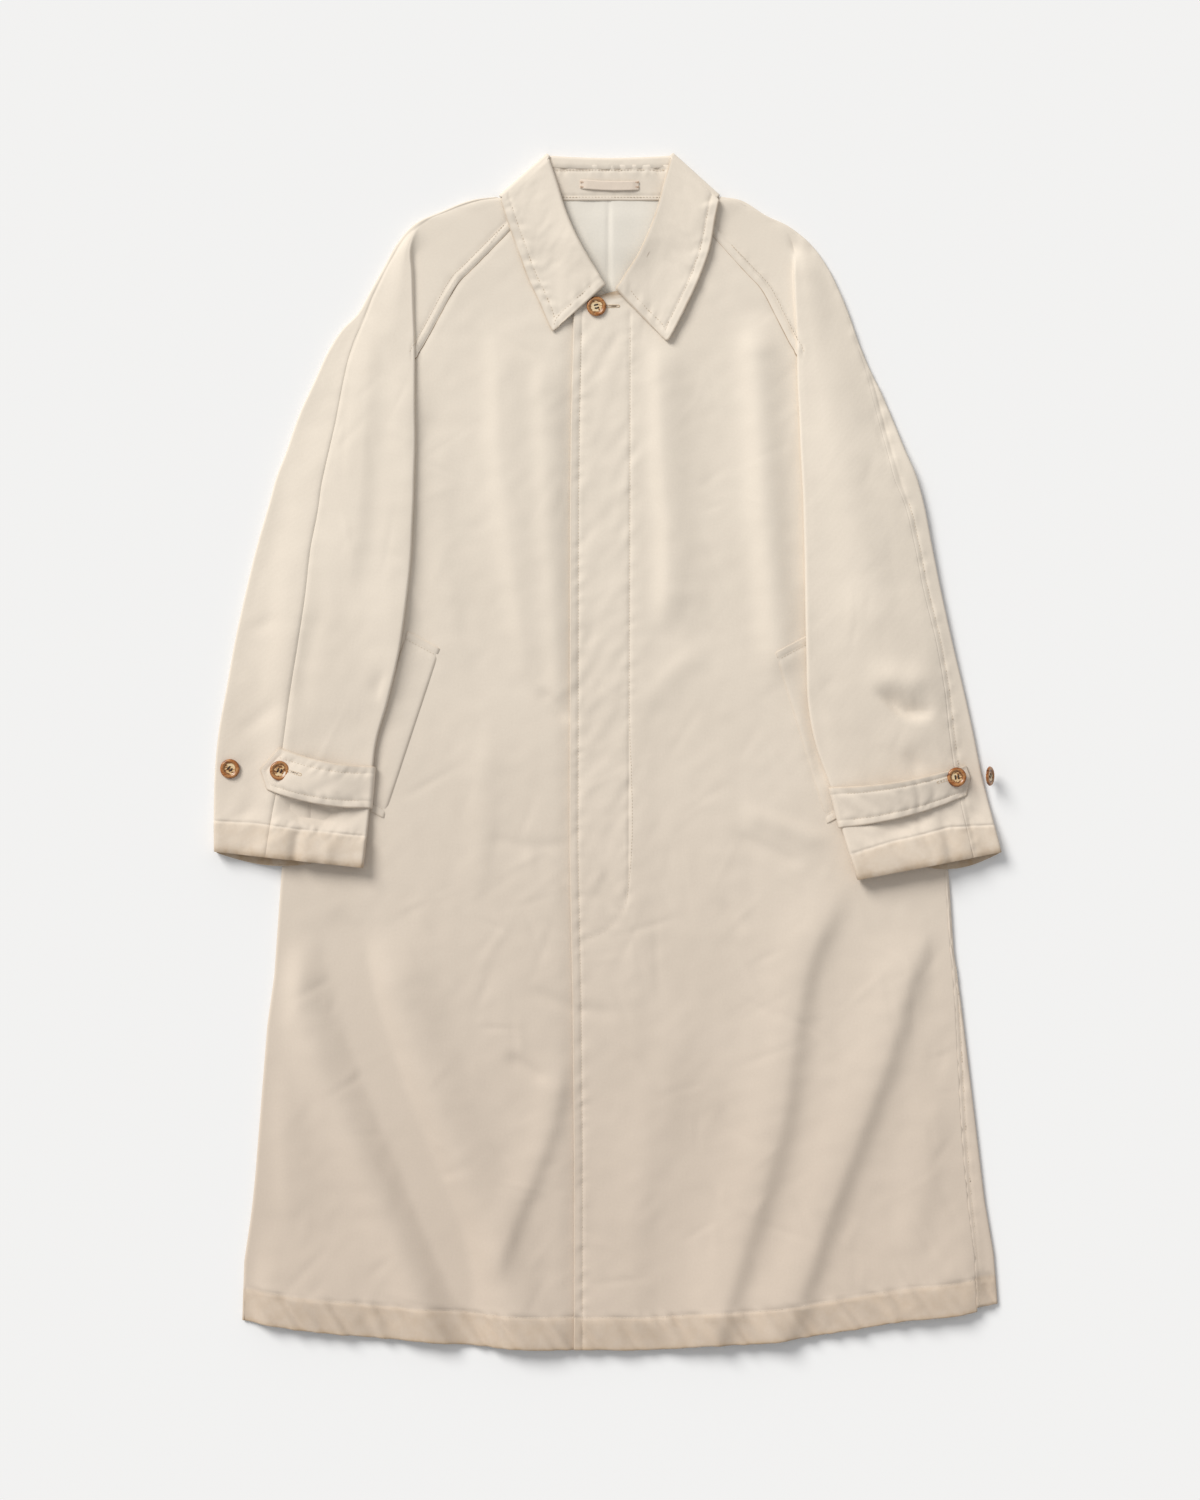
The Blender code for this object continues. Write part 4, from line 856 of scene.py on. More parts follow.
def front_left_grid():
    """Left front: from the fly's edge across to the side seam."""
    y = body_rows()
    edge = front_edge("left", y, fly_x(y))
    stop = np.where(y > UNDERARM_Y, raglan_out("left", y), seam_out("left", y))
    left = [0.0, 0.8, 2.0, 4.0, 6.0, 7.2, 8.0, 8.8, 10.0, 12.5, 16.0, 20.0, 24.0, 28.0, 32.0,
            36.0, 40.0, 44.0, 48.0, 51.5, 54.5, 56.6, 57.8, 58.7, 59.6, 60.8, 63.0, 66.0]
    x = spread_out(edge, stop, left, [0.0, 1.5, 4.0, 8.0], 84)
    yy = hemmed(x, y[:, None])
    z = left_front_z(x, yy)
    wear_and_shade = np.maximum(hem_wear(x, yy), 0.2 * near_edges(x - edge[:, None], 2.0))
    # Painted shade: the front darkened at the neck between the collar's leaves, where the stand
    # lies in shade
    neck_shade = 0.9 * soft((yy - 451.0) / 4.0) * (np.abs(x) < 16.0)
    wear_and_shade = np.maximum(wear_and_shade, neck_shade)
    wear_and_shade[y > UNDERARM_Y, -1] = 1.0
    return np.stack([x, yy, z], axis=2), wear_and_shade


def lines(start, end, share):
    """Points at the given shares of the way from start to end, along a new middle axis."""
    t = np.asarray(share)[None, :, None]
    return start[:, None] * (1 - t) + end[:, None] * t


def cuff_opening(number):
    """0 up the sleeve, 1 at the cuff's edge."""
    return soft((number - 20.4) / 1.6)[:, None]


def sleeve_sections(side):
    """A sleeve's sections for its grids, six times closer at the cuff's stitching: outer edge,
    way in from it, overarm seam, fold, way out from it, end of the lower layer, number."""
    rows = sections(side, 1600)
    weight = np.cumsum(1.0 + 6.0 * np.exp(-(((rows[:, 8] - 21.25) / 0.28) ** 2)))
    picked = np.searchsorted(weight, np.linspace(weight[0], weight[-1], 176))
    rows = rows[np.clip(picked, 0, len(rows) - 1)]
    outer, fold, end, number = rows[:, 0:2], rows[:, 2:4], rows[:, 4:6], rows[:, 8]
    across, back_way = unit(end - outer), unit(outer - fold)
    seam = outer + across * rows[:, 6:7]
    stop = np.where((number > SEAM_ROW)[:, None], fold + back_way * rows[:, 7:8], end)
    return outer, across, seam, fold, back_way, stop, number


def sleeve_front_grid(side):
    """Sleeve's front: overarm seam, across the top, round the fold, back to its lower seam.
    The bend is a cubic curve whose two middle points lie at the fold's bulge."""
    _, _, seam, fold, back_way, stop, number = sleeve_sections(side)
    under = number > SEAM_ROW
    first = fold + back_way * SLEEVE_RISE / 2
    share = np.concatenate([[0.0, 0.012, 0.03, 0.05, 0.065], np.linspace(0.09, 1.0, 58)])
    top = lines(seam, first, share)
    turned = soft((number - SEAM_ROW + 1.2) / 1.2)[:, None]
    near_fold = 0.3 - 0.24 * soft((number - 3.3) / 1.2)[:, None]
    last = first * turned + (fold + (stop - fold) * near_fold) * (1 - turned)
    way = np.concatenate([np.linspace(0.0, 0.8, 12), [0.84, 0.87, 0.9, 0.925, 0.95, 0.965, 0.98,
                                                      0.99, 1.0]])
    low = lines(last, stop, way)
    top_z = sleeve_top(side, top[..., 0], top[..., 1]) + CUFF_GAP * cuff_opening(number)
    on_front = over_front(side, low[..., 0], low[..., 1])
    near = front_mid(SIGN[side] * low[..., 0], low[..., 1])
    rise = soft((number - 4) / (SEAM_ROW - 4))[:, None] * LAYER * (1.0 - 0.75 * way[None, :])
    low_z = np.where(under[:, None], on_front,
                     near + rise + raglan_relief(side, low[..., 0], low[..., 1]))
    s = np.linspace(0.0, 1.0, 10)[1:-1]
    bulge = fold + (fold - first) * (0.33 * turned)
    w = [(1 - s) ** 3, 3 * s * (1 - s) ** 2, 3 * s * s * (1 - s), s ** 3]
    plan = (first[:, None] * w[0][:, None] + last[:, None] * w[3][:, None]
            + bulge[:, None] * (w[1] + w[2])[:, None])
    bend_z = top_z[:, -1:] * (w[0] + w[1]) + low_z[:, :1] * (w[2] + w[3])
    flat = np.concatenate([top, plan, low], axis=1)
    z = np.concatenate([top_z, bend_z, low_z], axis=1)
    wear_and_shade = cuff_wear_and_shade(side, flat)
    wear_and_shade[~under, -1] = 1.0
    return placed(side, flat, z), wear_and_shade


def cuff_wear_and_shade(side, flat):
    """Where the cuff is tan: below its stitching partly rubbed cloth and partly painted shade,
    and most at its edge, where it is rubbed.
    """
    d, _, _ = near_line(flat[..., 0], flat[..., 1], CUFF_STITCH[side])
    below = d if side == "right" else -d
    wear_and_shade = 0.30 * soft(below / 3.0)
    wear_and_shade[-2:] = np.maximum(wear_and_shade[-2:], np.array([0.5, 0.9])[:, None])
    return wear_and_shade


def sleeve_back_grid(side):
    """Sleeve's back: strip on top, half round the outer edge, in below to its seams."""
    outer, across, seam, _, _, stop, number = sleeve_sections(side)
    radius = SLEEVE_RISE / 2
    first = outer + across * radius
    strip = lines(seam, first, np.linspace(0.0, 1.0, 15))
    low = lines(first, stop, np.linspace(0.0, 1.0, 14))
    opened = cuff_opening(number)
    strip_z = sleeve_top(side, strip[..., 0], strip[..., 1]) + CUFF_GAP * opened
    low_z = sleeve_low(side, low[..., 0], low[..., 1])
    angle = np.linspace(np.pi / 2, -np.pi / 2, 10)[1:-1]
    plan = first[:, None] - across[:, None] * (radius * np.cos(angle))[None, :, None]
    high, bottom = strip_z[:, -1:], low_z[:, :1]
    bend_z = (high + bottom) / 2 + (high - bottom) / 2 * np.sin(angle)
    low[..., 1] -= 8.0 * opened * np.sin(np.linspace(0.15, 2.9, 14))[None, :]
    flat = np.concatenate([strip, plan, low], axis=1)
    z = np.concatenate([strip_z, bend_z, low_z], axis=1)
    wear_and_shade = cuff_wear_and_shade(side, flat)
    # Painted shade: darkens the lower layer under the open cuff, the sleeve's shaded inside
    wear_and_shade[-14:, -14:] = 1.0
    return placed(side, flat, z), wear_and_shade


def on_fronts(x, y):
    """Middle of the collar where it lies on the fronts and the yokes."""
    overlap = LAYER * soft((x + 55.0) / 18.0) * (1.0 - soft((x - UNDERLAP_X - 1.0) / 30.0))
    return front_mid(x, y) + overlap * (1.0 - soft((y - 500.0) / 30.0)) + 2.5


def leaf_relief(along, inward, seed):
    """Ripples of the collar's topstitched edge."""
    return stitched(inward - LEAF_STITCH, along, seed, 1.6)


LEAF_ACROSS = np.concatenate([np.linspace(0.0, 0.72, 20), np.linspace(0.745, 1.0, 13)])
TUCKED = 10             # columns of the collar from its tucked edge to the fall
STATIONS = 64           # rows of a leaf from its front corner to the shoulder line


def collar_half(side):
    """Front fall of one side: tucked in, round the roll, down to the outer edge."""
    table = spline(COLLAR_FRONT[side], STATIONS)
    roll, edge = table[:, None, 0:2], table[:, None, 2:4]
    long = np.linalg.norm(edge - roll, axis=2, keepdims=True)
    inward = (edge - roll) / long
    bulge = 2.2 if side == "right" else 1.0
    start = roll + inward * bulge
    fall = start + (edge - start) * LEAF_ACROSS[None, :, None]
    x = SIGN[side] * fall[..., 0]
    place = np.arange(STATIONS) / (STATIONS - 1.0)
    fade = 1.0 - soft((place - 0.35) / 0.65) * 0.65
    rise = 5.4 * fade[:, None] * (1.0 - LEAF_ACROSS[None, :]) ** 1.7
    if side == "left":
        proud = 4.2 * soft(place / 0.12)[:, None] * LEAF_ACROSS[None, :] ** 1.6
        rise = 3.0 * fade[:, None] * (1.0 - LEAF_ACROSS[None, :]) ** 4 + proud
    outline = np.concatenate([table[:1, 0:2], table[:, 2:4]])
    d, along, _ = near_line(fall[..., 0], fall[..., 1], outline)
    ripple = leaf_relief(along, np.abs(d), 61 if side == "right" else 62)
    z = on_fronts(x, fall[..., 1]) + rise + ripple * soft(place / 0.02)[:, None]
    z = z + 0.5 * noise(x, fall[..., 1], 19.0, 63) * LEAF_ACROSS[None, :] * (1 - place[:, None])
    slant = 150.0 * place[:, None] + 6.0 * LEAF_ACROSS[None, :]
    rumple = noise(slant, 26.0 * LEAF_ACROSS[None, :] + 0 * slant, 8.5, 66)
    rumple = rumple + 0.6 * noise(slant, 46.0 * LEAF_ACROSS[None, :] + 0 * slant, 5.0, 67)
    z = z + 0.34 * rumple * soft(LEAF_ACROSS / 0.1)[None, :] * soft(place / 0.05)[:, None]
    angle = np.linspace(-np.pi / 2, np.pi / 2, TUCKED - 1)[:-1]
    bend = start - inward * (bulge * np.cos(angle))[None, :, None]
    bend_z = z[:, :1] - bulge + bulge * np.sin(angle)[None, :]
    tuck = start + inward * np.array([8.0, 4.0])[None, :, None]
    tuck_z = np.repeat(z[:, :1] - 2.0 * bulge, 2, axis=1)
    plan = np.concatenate([tuck, bend, fall], axis=1)
    height = np.concatenate([tuck_z, bend_z, z], axis=1)
    # Painted shade on the tucked roll, most on the left leaf
    painted_shade = np.full((STATIONS, TUCKED), 0.45 if side == "left" else 0.1)
    # Edges: rubbed tan, and painted shade of the crevice under them
    wear_and_shade = np.concatenate([painted_shade, near_edges(np.abs(d), 1.5) * 0.5], axis=1)
    return placed(side, plan, height), wear_and_shade


def collar_turn(side):
    """Half round over the shoulder line, from the front fall to the one behind the neck."""
    peak = np.array(COLLAR_PEAK[side], float)
    line = peak[None, 0:2] + (peak[2:4] - peak[0:2])[None, :] * LEAF_ACROSS[:, None]
    way = unit(peak[2:4] - peak[0:2])
    outward = np.array([-way[1], way[0]])
    outward = outward * np.sign(outward[1])
    angle = np.linspace(np.pi / 2, -np.pi / 2, 12)
    bulge = 1.0 - np.cos(angle)
    plan = line[None] - outward * COLLAR_TURN * bulge[:, None, None]
    level = COLLAR_TURN * (1.0 + np.sin(angle))
    z = BACK_FALL_Z + level[:, None] + 0 * LEAF_ACROSS[None, :]
    full = np.concatenate([np.repeat(plan[:, :1], TUCKED, axis=1), plan], axis=1)
    height = np.concatenate([np.repeat(z[:, :1], TUCKED, axis=1), z], axis=1)
    return placed(side, full, height), np.zeros(height.shape)


def collar_back():
    """Fall behind the neck, flat on the surface, rolled up over the top edge."""
    count = 40
    t = np.linspace(0.0, 1.0, count)
    x_roll = np.interp(t, np.linspace(0, 1, 7), BACK_ROLL_X)
    x_edge = np.interp(t, np.linspace(0, 1, 7), BACK_EDGE_X)
    across = LEAF_ACROSS
    dip = -2.2 * np.sin(np.pi * t)
    x = x_roll[:, None] * (1 - across) + x_edge[:, None] * across
    y = (BACK_TOP_Y + dip)[:, None] * (1 - across) + collar_low_y(x_edge)[:, None] * across
    z = np.full(x.shape, BACK_FALL_Z)
    angle = np.linspace(np.pi / 2, -np.pi / 2, TUCKED - 1)[:-1]
    top_y = BACK_TOP_Y + BACK_ROLL_TURN * np.cos(angle)
    top_z = BACK_FALL_Z + BACK_ROLL_TURN * (1.0 + np.sin(angle))
    ones = np.ones((count, 1))
    full_x = np.concatenate([np.repeat(x_roll[:, None], TUCKED, axis=1), x], axis=1)
    strip_y = ones * np.array([583.5, 588.0]) + dip[:, None]
    full_y = np.concatenate([strip_y, ones * top_y + dip[:, None], y], axis=1)
    level = BACK_FALL_Z + 2 * BACK_ROLL_TURN
    wavy = 0.5 * noise(full_x[:, :2], full_y[:, :2], 7.0, 65)
    full_z = np.concatenate([level + wavy, ones * top_z, z], axis=1)
    grid = np.stack([full_x, full_y, full_z], axis=2)
    return grid, np.zeros(grid.shape[:2])


def stand_mid(y):
    """The stand slopes from the roll down to the neck seam."""
    high = BACK_FALL_Z + 2 * BACK_ROLL_TURN
    return STAND_LOW_Z + (high - STAND_LOW_Z) * soft((y - 552.0) / 30.0)


def stand_grid():
    """The stand's middle with both stitchings; it puckers more towards its ends."""
    y = np.linspace(585.0, STAND_LOW_Y, 26)[:, None]
    x = np.linspace(-55.0, 60.5, 70)[None, :]
    x = x + (y - 567.0) * 0.06 * (x - 2.5) / 57.0
    y = y + 0 * x
    more = 1.2 + 2.4 * (np.abs(x - 2.5) / 57.0) ** 3
    z = stand_mid(y) + stitched(y - STAND_STITCH_Y[0], x, 81, more)
    z = z + stitched(y - 554.5, x, 82, 0.6, 3.0)
    z = z + 0.35 * noise(x + 0.6 * y, 0.5 * y, 9.0, 85)
    z = z - 0.25 * near_edges(y - STAND_LOW_Y, 2.4)
    return np.stack([x, y, z], axis=2), 0.3 * near_edges(y - STAND_LOW_Y, 2.0)


def lining_grid():
    """The lining lies on the back, with a step down from its ease pleat's edge."""
    y = np.linspace(553.0, 405.0, 74)[:, None]
    half = 58.0 + 12.0 * soft((549.0 - y) / 60.0)
    x = np.linspace(-1.0, 1.0, 72)[None, :] * half + 3.0
    deep = soft((566.0 - y) / 40.0)
    pleat = 0.8 * soft((x - 2.0) / 3.0) * (1.0 - soft((x - 6.0) / 22.0)) * deep
    pleat = pleat - 0.8 * np.exp(-(((x - 1.0) / 2.2) ** 2)) * deep
    tucked = 0.9 * soft((y - 530.0) / 18.0)
    z = floor_mid(x, y) + LAYER + 0.35 + pleat - tucked + 0.25 * noise(x, y * 0.5, 16.0, 83)
    return np.stack([x, y + 0 * x, z], axis=2)


def loop_grid():
    """The hanger loop's strap, sagging a little and proud of the stand between its ends."""
    t = np.linspace(0.0, 1.0, 60)[None, :]
    v = np.linspace(4.2, -4.2, 12)[:, None]
    x = LOOP_ENDS[0] + (LOOP_ENDS[1] - LOOP_ENDS[0]) * t + 0 * v
    y = LOOP_Y[0] + (LOOP_Y[1] - LOOP_Y[0]) * t + v - 1.2 * np.sin(np.pi * t)
    proud = 1.3 * soft(t / 0.12) * soft((1 - t) / 0.12)
    z = stand_mid(y) + 1.1 + proud + 0.12 * noise(x, y, 5.0, 84)
    return np.stack([x, y, z], axis=2)


def tab_grid(side):
    """Cuff tab: pointed end to the sleeve's fold, bowed off the sleeve and lifted at its lower
    edge, then turned round the fold."""
    shape = TAB[side]
    v = np.concatenate([[0.0, 0.03, 0.08, 0.14, 0.165, 0.19], np.linspace(0.24, 0.76, 12),
                        [0.81, 0.835, 0.86, 0.92, 0.97, 1.0]])
    corner = [np.array(shape[k], float) for k in ("top", "tip", "low")]
    start = np.stack([np.interp(v, (0.0, 0.5, 1.0), [p[i] for p in corner]) for i in (0, 1)], 1)
    ends = [np.array(shape[k], float) for k in ("top_fold", "low_fold")]
    stop = ends[0][None] * (1 - v[:, None]) + ends[1][None] * v[:, None]
    radius = SLEEVE_RISE / 2 + LAYER + 1.0
    way = unit(start - stop)
    centre_out = out_at(SLEEVE_ROWS[side][:, 2:4], stop[:, 1]) + SLEEVE_RISE / 2
    centre_y = stop[:, 1] + (centre_out - stop[:, 0]) * way[:, 1] / way[:, 0]
    centre = np.stack([centre_out, centre_y], axis=1)
    t = np.concatenate([[0.0, 0.006, 0.018, 0.035, 0.05, 0.062, 0.075], np.linspace(0.1, 1, 46)])
    flat = start[:, None] * (1 - t)[None, :, None] + centre[:, None] * t[None, :, None]
    flat[..., 1] -= 5.0 * (4 * t * (1 - t))[None, :]
    bow = (5.4 if side == "right" else 3.6) * np.sin(np.pi * np.clip(t * 1.08 - 0.08, 0, 1)) ** 1.6
    lift = np.sin(np.pi * np.clip(t * 1.02, 0, 1)) ** 1.2
    if side == "right":
        lift = 5.0 * lift * v[:, None] ** 1.5
    else:
        lift = 6.6 * lift ** 0.5 * (1.0 - v[:, None]) + 1.2 * lift * v[:, None] ** 3
        wrinkle = noise(t * 125.0, 0.0 * t, 5.0, 72)
        lift = lift + 0.8 * wrinkle * soft(t / 0.1) * soft((0.8 - t) / 0.3)
    z = sleeve_top(side, flat[..., 0], flat[..., 1]) + LAYER + 0.6 + bow[None, :] + lift
    along = (t * np.linalg.norm(start - stop, axis=1).mean())[None, :] + 0 * v[:, None]
    inside = np.minimum(np.minimum(v, 1 - v)[:, None] * TAB_WIDTH, along)
    z = z + stitched(inside - TAB_STITCH, along, 71, 1.8, 5.0)
    angle = np.linspace(0.0, np.pi * 0.62, 12)[1:]
    bend = centre[:, None] - way[:, None] * (radius * np.sin(angle))[None, :, None]
    bend_z = z[:, -1:] - radius + radius * np.cos(angle)[None, :]
    plan = np.concatenate([flat, bend], axis=1)
    height = np.concatenate([z, bend_z], axis=1)
    wear_and_shade = np.zeros(plan.shape[:2])
    wear_and_shade[:, :len(t)] = near_edges(inside, 1.6) * 0.4
    wear_and_shade[[0, -1]] = 0.4
    return placed(side, plan, height), wear_and_shade


def welt_grid(side):
    """Slanted pocket band on the front: an upright strip with stitched ends."""
    out0, y0, out1, y1 = POCKET[side]
    t = np.concatenate([[0, 0.006, 0.016, 0.03, 0.042, 0.054], np.linspace(0.08, 0.92, 34),
                        [0.946, 0.958, 0.97, 0.984, 0.994, 1.0]])[:, None]
    v = np.linspace(0.0, 1.0, 14)[None, :]
    way = np.array([out1 - out0, y1 - y0]) / np.hypot(out1 - out0, y1 - y0)
    out = out0 + way[0] * WELT_LENGTH * t + WELT_ACROSS * v
    y = y0 + way[1] * WELT_LENGTH * t + POCKET_TOP_SLOPE * v
    x = SIGN[side] * out
    ends = np.minimum(t, 1 - t) * WELT_LENGTH
    ripple = stitched(ends - EDGE_STITCH, v * WELT_ACROSS + t * 300, 73)
    rim = -0.7 * near_edges(v * WELT_ACROSS + 0 * t, 2.0)
    z = front_mid(x, y, True) + 1.05 + ripple + rim
    wear_and_shade = np.maximum(near_edges(ends + 0 * v, 2.0), near_edges(v * WELT_ACROSS + 0 * t, 2.0))
    return np.stack([x, y, z], axis=2), 0.2 * wear_and_shade


STITCH_RINGS = [(-0.5, 0.35, -0.55), (-0.22, 1.0, 0.0), (0.22, 1.0, 0.0), (0.5, 0.35, -0.55)]
STITCH_SIDES = [(1.0, 0.0), (0.0, 0.8), (-1.0, 0.0), (0.0, -0.8)]


def stitch_parts(starts, ends, width):
    """Many stitches at once. Each is four rings of four points from start to end, narrower and
    lower at its ends, as a thread that dives into the cloth."""
    way = ends - starts
    long = np.linalg.norm(way, axis=1, keepdims=True)
    way = way / np.maximum(long, 1e-9)
    side = np.cross(way, [0.0, 0.0, 1.0])
    side = side / np.maximum(np.linalg.norm(side, axis=1, keepdims=True), 1e-9)
    up = np.cross(side, way)
    middle = (starts + ends) / 2
    rings = []
    for t, size, drop in STITCH_RINGS:
        for a, b in STITCH_SIDES:
            rings.append(middle + way * long * t + side * (a * size * width / 2)
                         + up * ((b * size / 2 + drop) * width))
    points = np.stack(rings, axis=1)
    faces = [[4 * r + k, 4 * r + (k + 1) % 4, 4 * r + 4 + (k + 1) % 4, 4 * r + 4 + k]
             for r in range(3) for k in range(4)]
    faces = np.array(faces + [[3, 2, 1, 0], [12, 13, 14, 15]])[:, ::-1]
    return points, faces


def add_stitches(name, parts, material):
    """Joins stitches from several lines into one piece."""
    points = np.concatenate([p for p, _ in parts])
    pattern = parts[0][1]
    faces = (pattern[None] + 16 * np.arange(len(points))[:, None, None]).reshape(-1, 4)
    obj = add_mesh(name, points.reshape(-1, 3), faces.tolist(), material)
    return obj


def along_line(points, level, rise, seed):
    """Stitches along a line of points in plan; level gives the cloth's middle under each."""
    p = np.asarray(points, float)
    s = run(p)
    pitch = size_of("stitch")
    count = int(s[-1] / pitch)
    at = (np.arange(count) + 0.5) * s[-1] / count
    wobble = np.random.default_rng(seed).normal(0.0, 0.10, count)
    ends = []
    for shift in (-STITCH_LAY, STITCH_LAY):
        x = np.interp(at + shift * pitch, s, p[:, 0]) + wobble
        y = np.interp(at + shift * pitch, s, p[:, 1]) + wobble
        ends.append(np.stack([x, y, level(x, y) + rise], axis=1))
    return stitch_parts(ends[0], ends[1], THREAD_WIDTH)


def node(tree, kind, links=None, **settings):
    """Adds a node: settings go to its properties, or else to its sockets; links join sockets."""
    made = tree.nodes.new(kind)
    for key, value in settings.items():
        if hasattr(made, key):
            setattr(made, key, value)
        else:
            made.inputs[key.replace("_", " ")].default_value = value
    for key, source in (links or {}).items():
        tree.links.new(source, made.inputs[key])
    return made


def rgba(shade):
    """A colour with full cover."""
    return (*shade[:3], 1.0)


def started(name, **settings):
    """A new material, its nodes, and its shader with the given settings."""
    mat = bpy.data.materials.new(name)
    mat.use_nodes = True
    shader = mat.node_tree.nodes["Principled BSDF"]
    for key, value in settings.items():
        shader.inputs[key.replace("_", " ")].default_value = value
    return mat, mat.node_tree, shader


def mixed(tree, factor, first, second, blend="MIX"):
    """Mixes a colour, or a socket's colour, with a second colour by a factor's socket."""
    made = node(tree, "ShaderNodeMix", {"Factor": factor}, data_type="RGBA", blend_type=blend)
    if isinstance(first, tuple):
        made.inputs[6].default_value = first
    else:
        tree.links.new(first, made.inputs[6])
    made.inputs[7].default_value = second
    return made.outputs[2]


def cloth_material(name, base, worn_and_shaded, twill_mm, bump, sheen, painted_shade=(1.0, 1.0, 1.0)):
    """Woven cotton. Short fibres make it matt and slightly hairy; the weave gives a fine
    diagonal twill, uneven yarn gives slubs, and washing gives slow changes of tone and tan
    along rubbed edges. The darkening towards the hem is painted shade, and the tan mask
    also carries painted shade where a piece sets it."""
    if name in bpy.data.materials:
        return bpy.data.materials[name]
    mat, tree, shader = started(name, Roughness=0.86, IOR=1.47, Specular_IOR_Level=0.28,
                                Sheen_Weight=sheen, Sheen_Roughness=0.5)
    cut = node(tree, "ShaderNodeUVMap", uv_map="cut")
    place = node(tree, "ShaderNodeTexCoord")
    tone = node(tree, "ShaderNodeTexNoise", {"Vector": place.outputs["Object"]},
                Scale=9.0, Detail=3.0, Roughness=0.55)
    fine = node(tree, "ShaderNodeTexNoise", {"Vector": cut.outputs["UV"]},
                Scale=420.0, Detail=2.0, Roughness=0.6)
    # Tan mask: rubbed edges, and painted shade where a piece sets it
    edge = node(tree, "ShaderNodeAttribute", attribute_name="worn_and_shaded", attribute_type="GEOMETRY")
    patch = node(tree, "ShaderNodeTexNoise", {"Vector": place.outputs["Object"]},
                 Scale=70.0, Detail=3.0, Roughness=0.65)
    worn_and_shaded_share = node(tree, "ShaderNodeMath",
                      {0: edge.outputs["Fac"], 1: patch.outputs["Fac"]},
                      operation="MULTIPLY")
    worn_and_shaded_boost = node(tree, "ShaderNodeMath", {0: worn_and_shaded_share.outputs[0]},
                     operation="MULTIPLY", use_clamp=True)
    worn_and_shaded_boost.inputs[1].default_value = 1.7
    light = tuple(min(1.0, c * 1.045) for c in base[:3])
    dark = tuple(c * f for c, f in zip(base[:3], (0.93, 0.925, 0.915)))
    ground = mixed(tree, tone.outputs["Fac"], rgba(dark), rgba(light))
    speck = mixed(tree, fine.outputs["Fac"], ground, (0.93, 0.925, 0.92, 1.0), "MULTIPLY")
    # Painted shade: darker and warmer towards the hem, for light that falls off down the coat
    height = node(tree, "ShaderNodeSeparateXYZ", {"Vector": place.outputs["Object"]})
    down = node(tree, "ShaderNodeMapRange", {"Value": height.outputs["Y"]},
                From_Min=FALLOFF_SHADE_FROM, From_Max=FALLOFF_SHADE_TO, interpolation_type="SMOOTHSTEP")
    falloff_shaded = mixed(tree, down.outputs["Result"], speck, rgba(painted_shade), "MULTIPLY")
    tan = mixed(tree, worn_and_shaded_boost.outputs[0], falloff_shaded, rgba(worn_and_shaded))
    tree.links.new(tan, shader.inputs["Base Color"])
    # Real twill lines stand 0.4 mm apart; they are drawn coarser so that they show
    wave = node(tree, "ShaderNodeTexWave", {"Vector": cut.outputs["UV"]},
                wave_type="BANDS", bands_direction="DIAGONAL",
                Scale=1.0 / (twill_mm * MM * 6.2), Distortion=1.2, Detail=1.0)
    thread = node(tree, "ShaderNodeMapping", {"Vector": cut.outputs["UV"]})
    thread.inputs["Scale"].default_value = (900.0, 60.0, 1.0)
    slub = node(tree, "ShaderNodeTexNoise", {"Vector": thread.outputs["Vector"]},
                Scale=1.0, Detail=2.0)
    weave = node(tree, "ShaderNodeMix", {2: wave.outputs["Fac"], 3: slub.outputs["Fac"]},
                 data_type="FLOAT")
    weave.inputs[0].default_value = 0.8
    first = node(tree, "ShaderNodeBump", {"Height": weave.outputs[0]},
                 Strength=bump, Distance=0.0004)
    crumple = node(tree, "ShaderNodeTexNoise", {"Vector": place.outputs["Object"]},
                   noise_type="RIDGED_MULTIFRACTAL", Scale=34.0, Detail=3.0)
    second = node(tree, "ShaderNodeBump", {"Height": crumple.outputs["Fac"],
                                           "Normal": first.outputs["Normal"]},
                  Strength=0.42, Distance=0.001)
    tree.links.new(second.outputs["Normal"], shader.inputs["Normal"])
    return mat


def thread_material(name, base):
    """Spun polyester thread: its short fibres give a soft shine, its tight twist fine bars of
    light and shade."""
    mat, tree, shader = started(name, Roughness=0.6, IOR=1.5, Sheen_Weight=0.15)
    place = node(tree, "ShaderNodeTexCoord")
    twist = node(tree, "ShaderNodeTexNoise", {"Vector": place.outputs["Object"]},
                 Scale=600.0, Detail=1.0)
    mix = mixed(tree, twist.outputs["Fac"], rgba(tuple(c * 0.85 for c in base[:3])),
                rgba(tuple(min(1.0, c * 1.12) for c in base[:3])))
    tree.links.new(mix, shader.inputs["Base Color"])
    bump = node(tree, "ShaderNodeBump", {"Height": twist.outputs["Fac"]},
                Strength=0.4, Distance=0.0002)
    tree.links.new(bump.outputs["Normal"], shader.inputs["Normal"])
    return mat


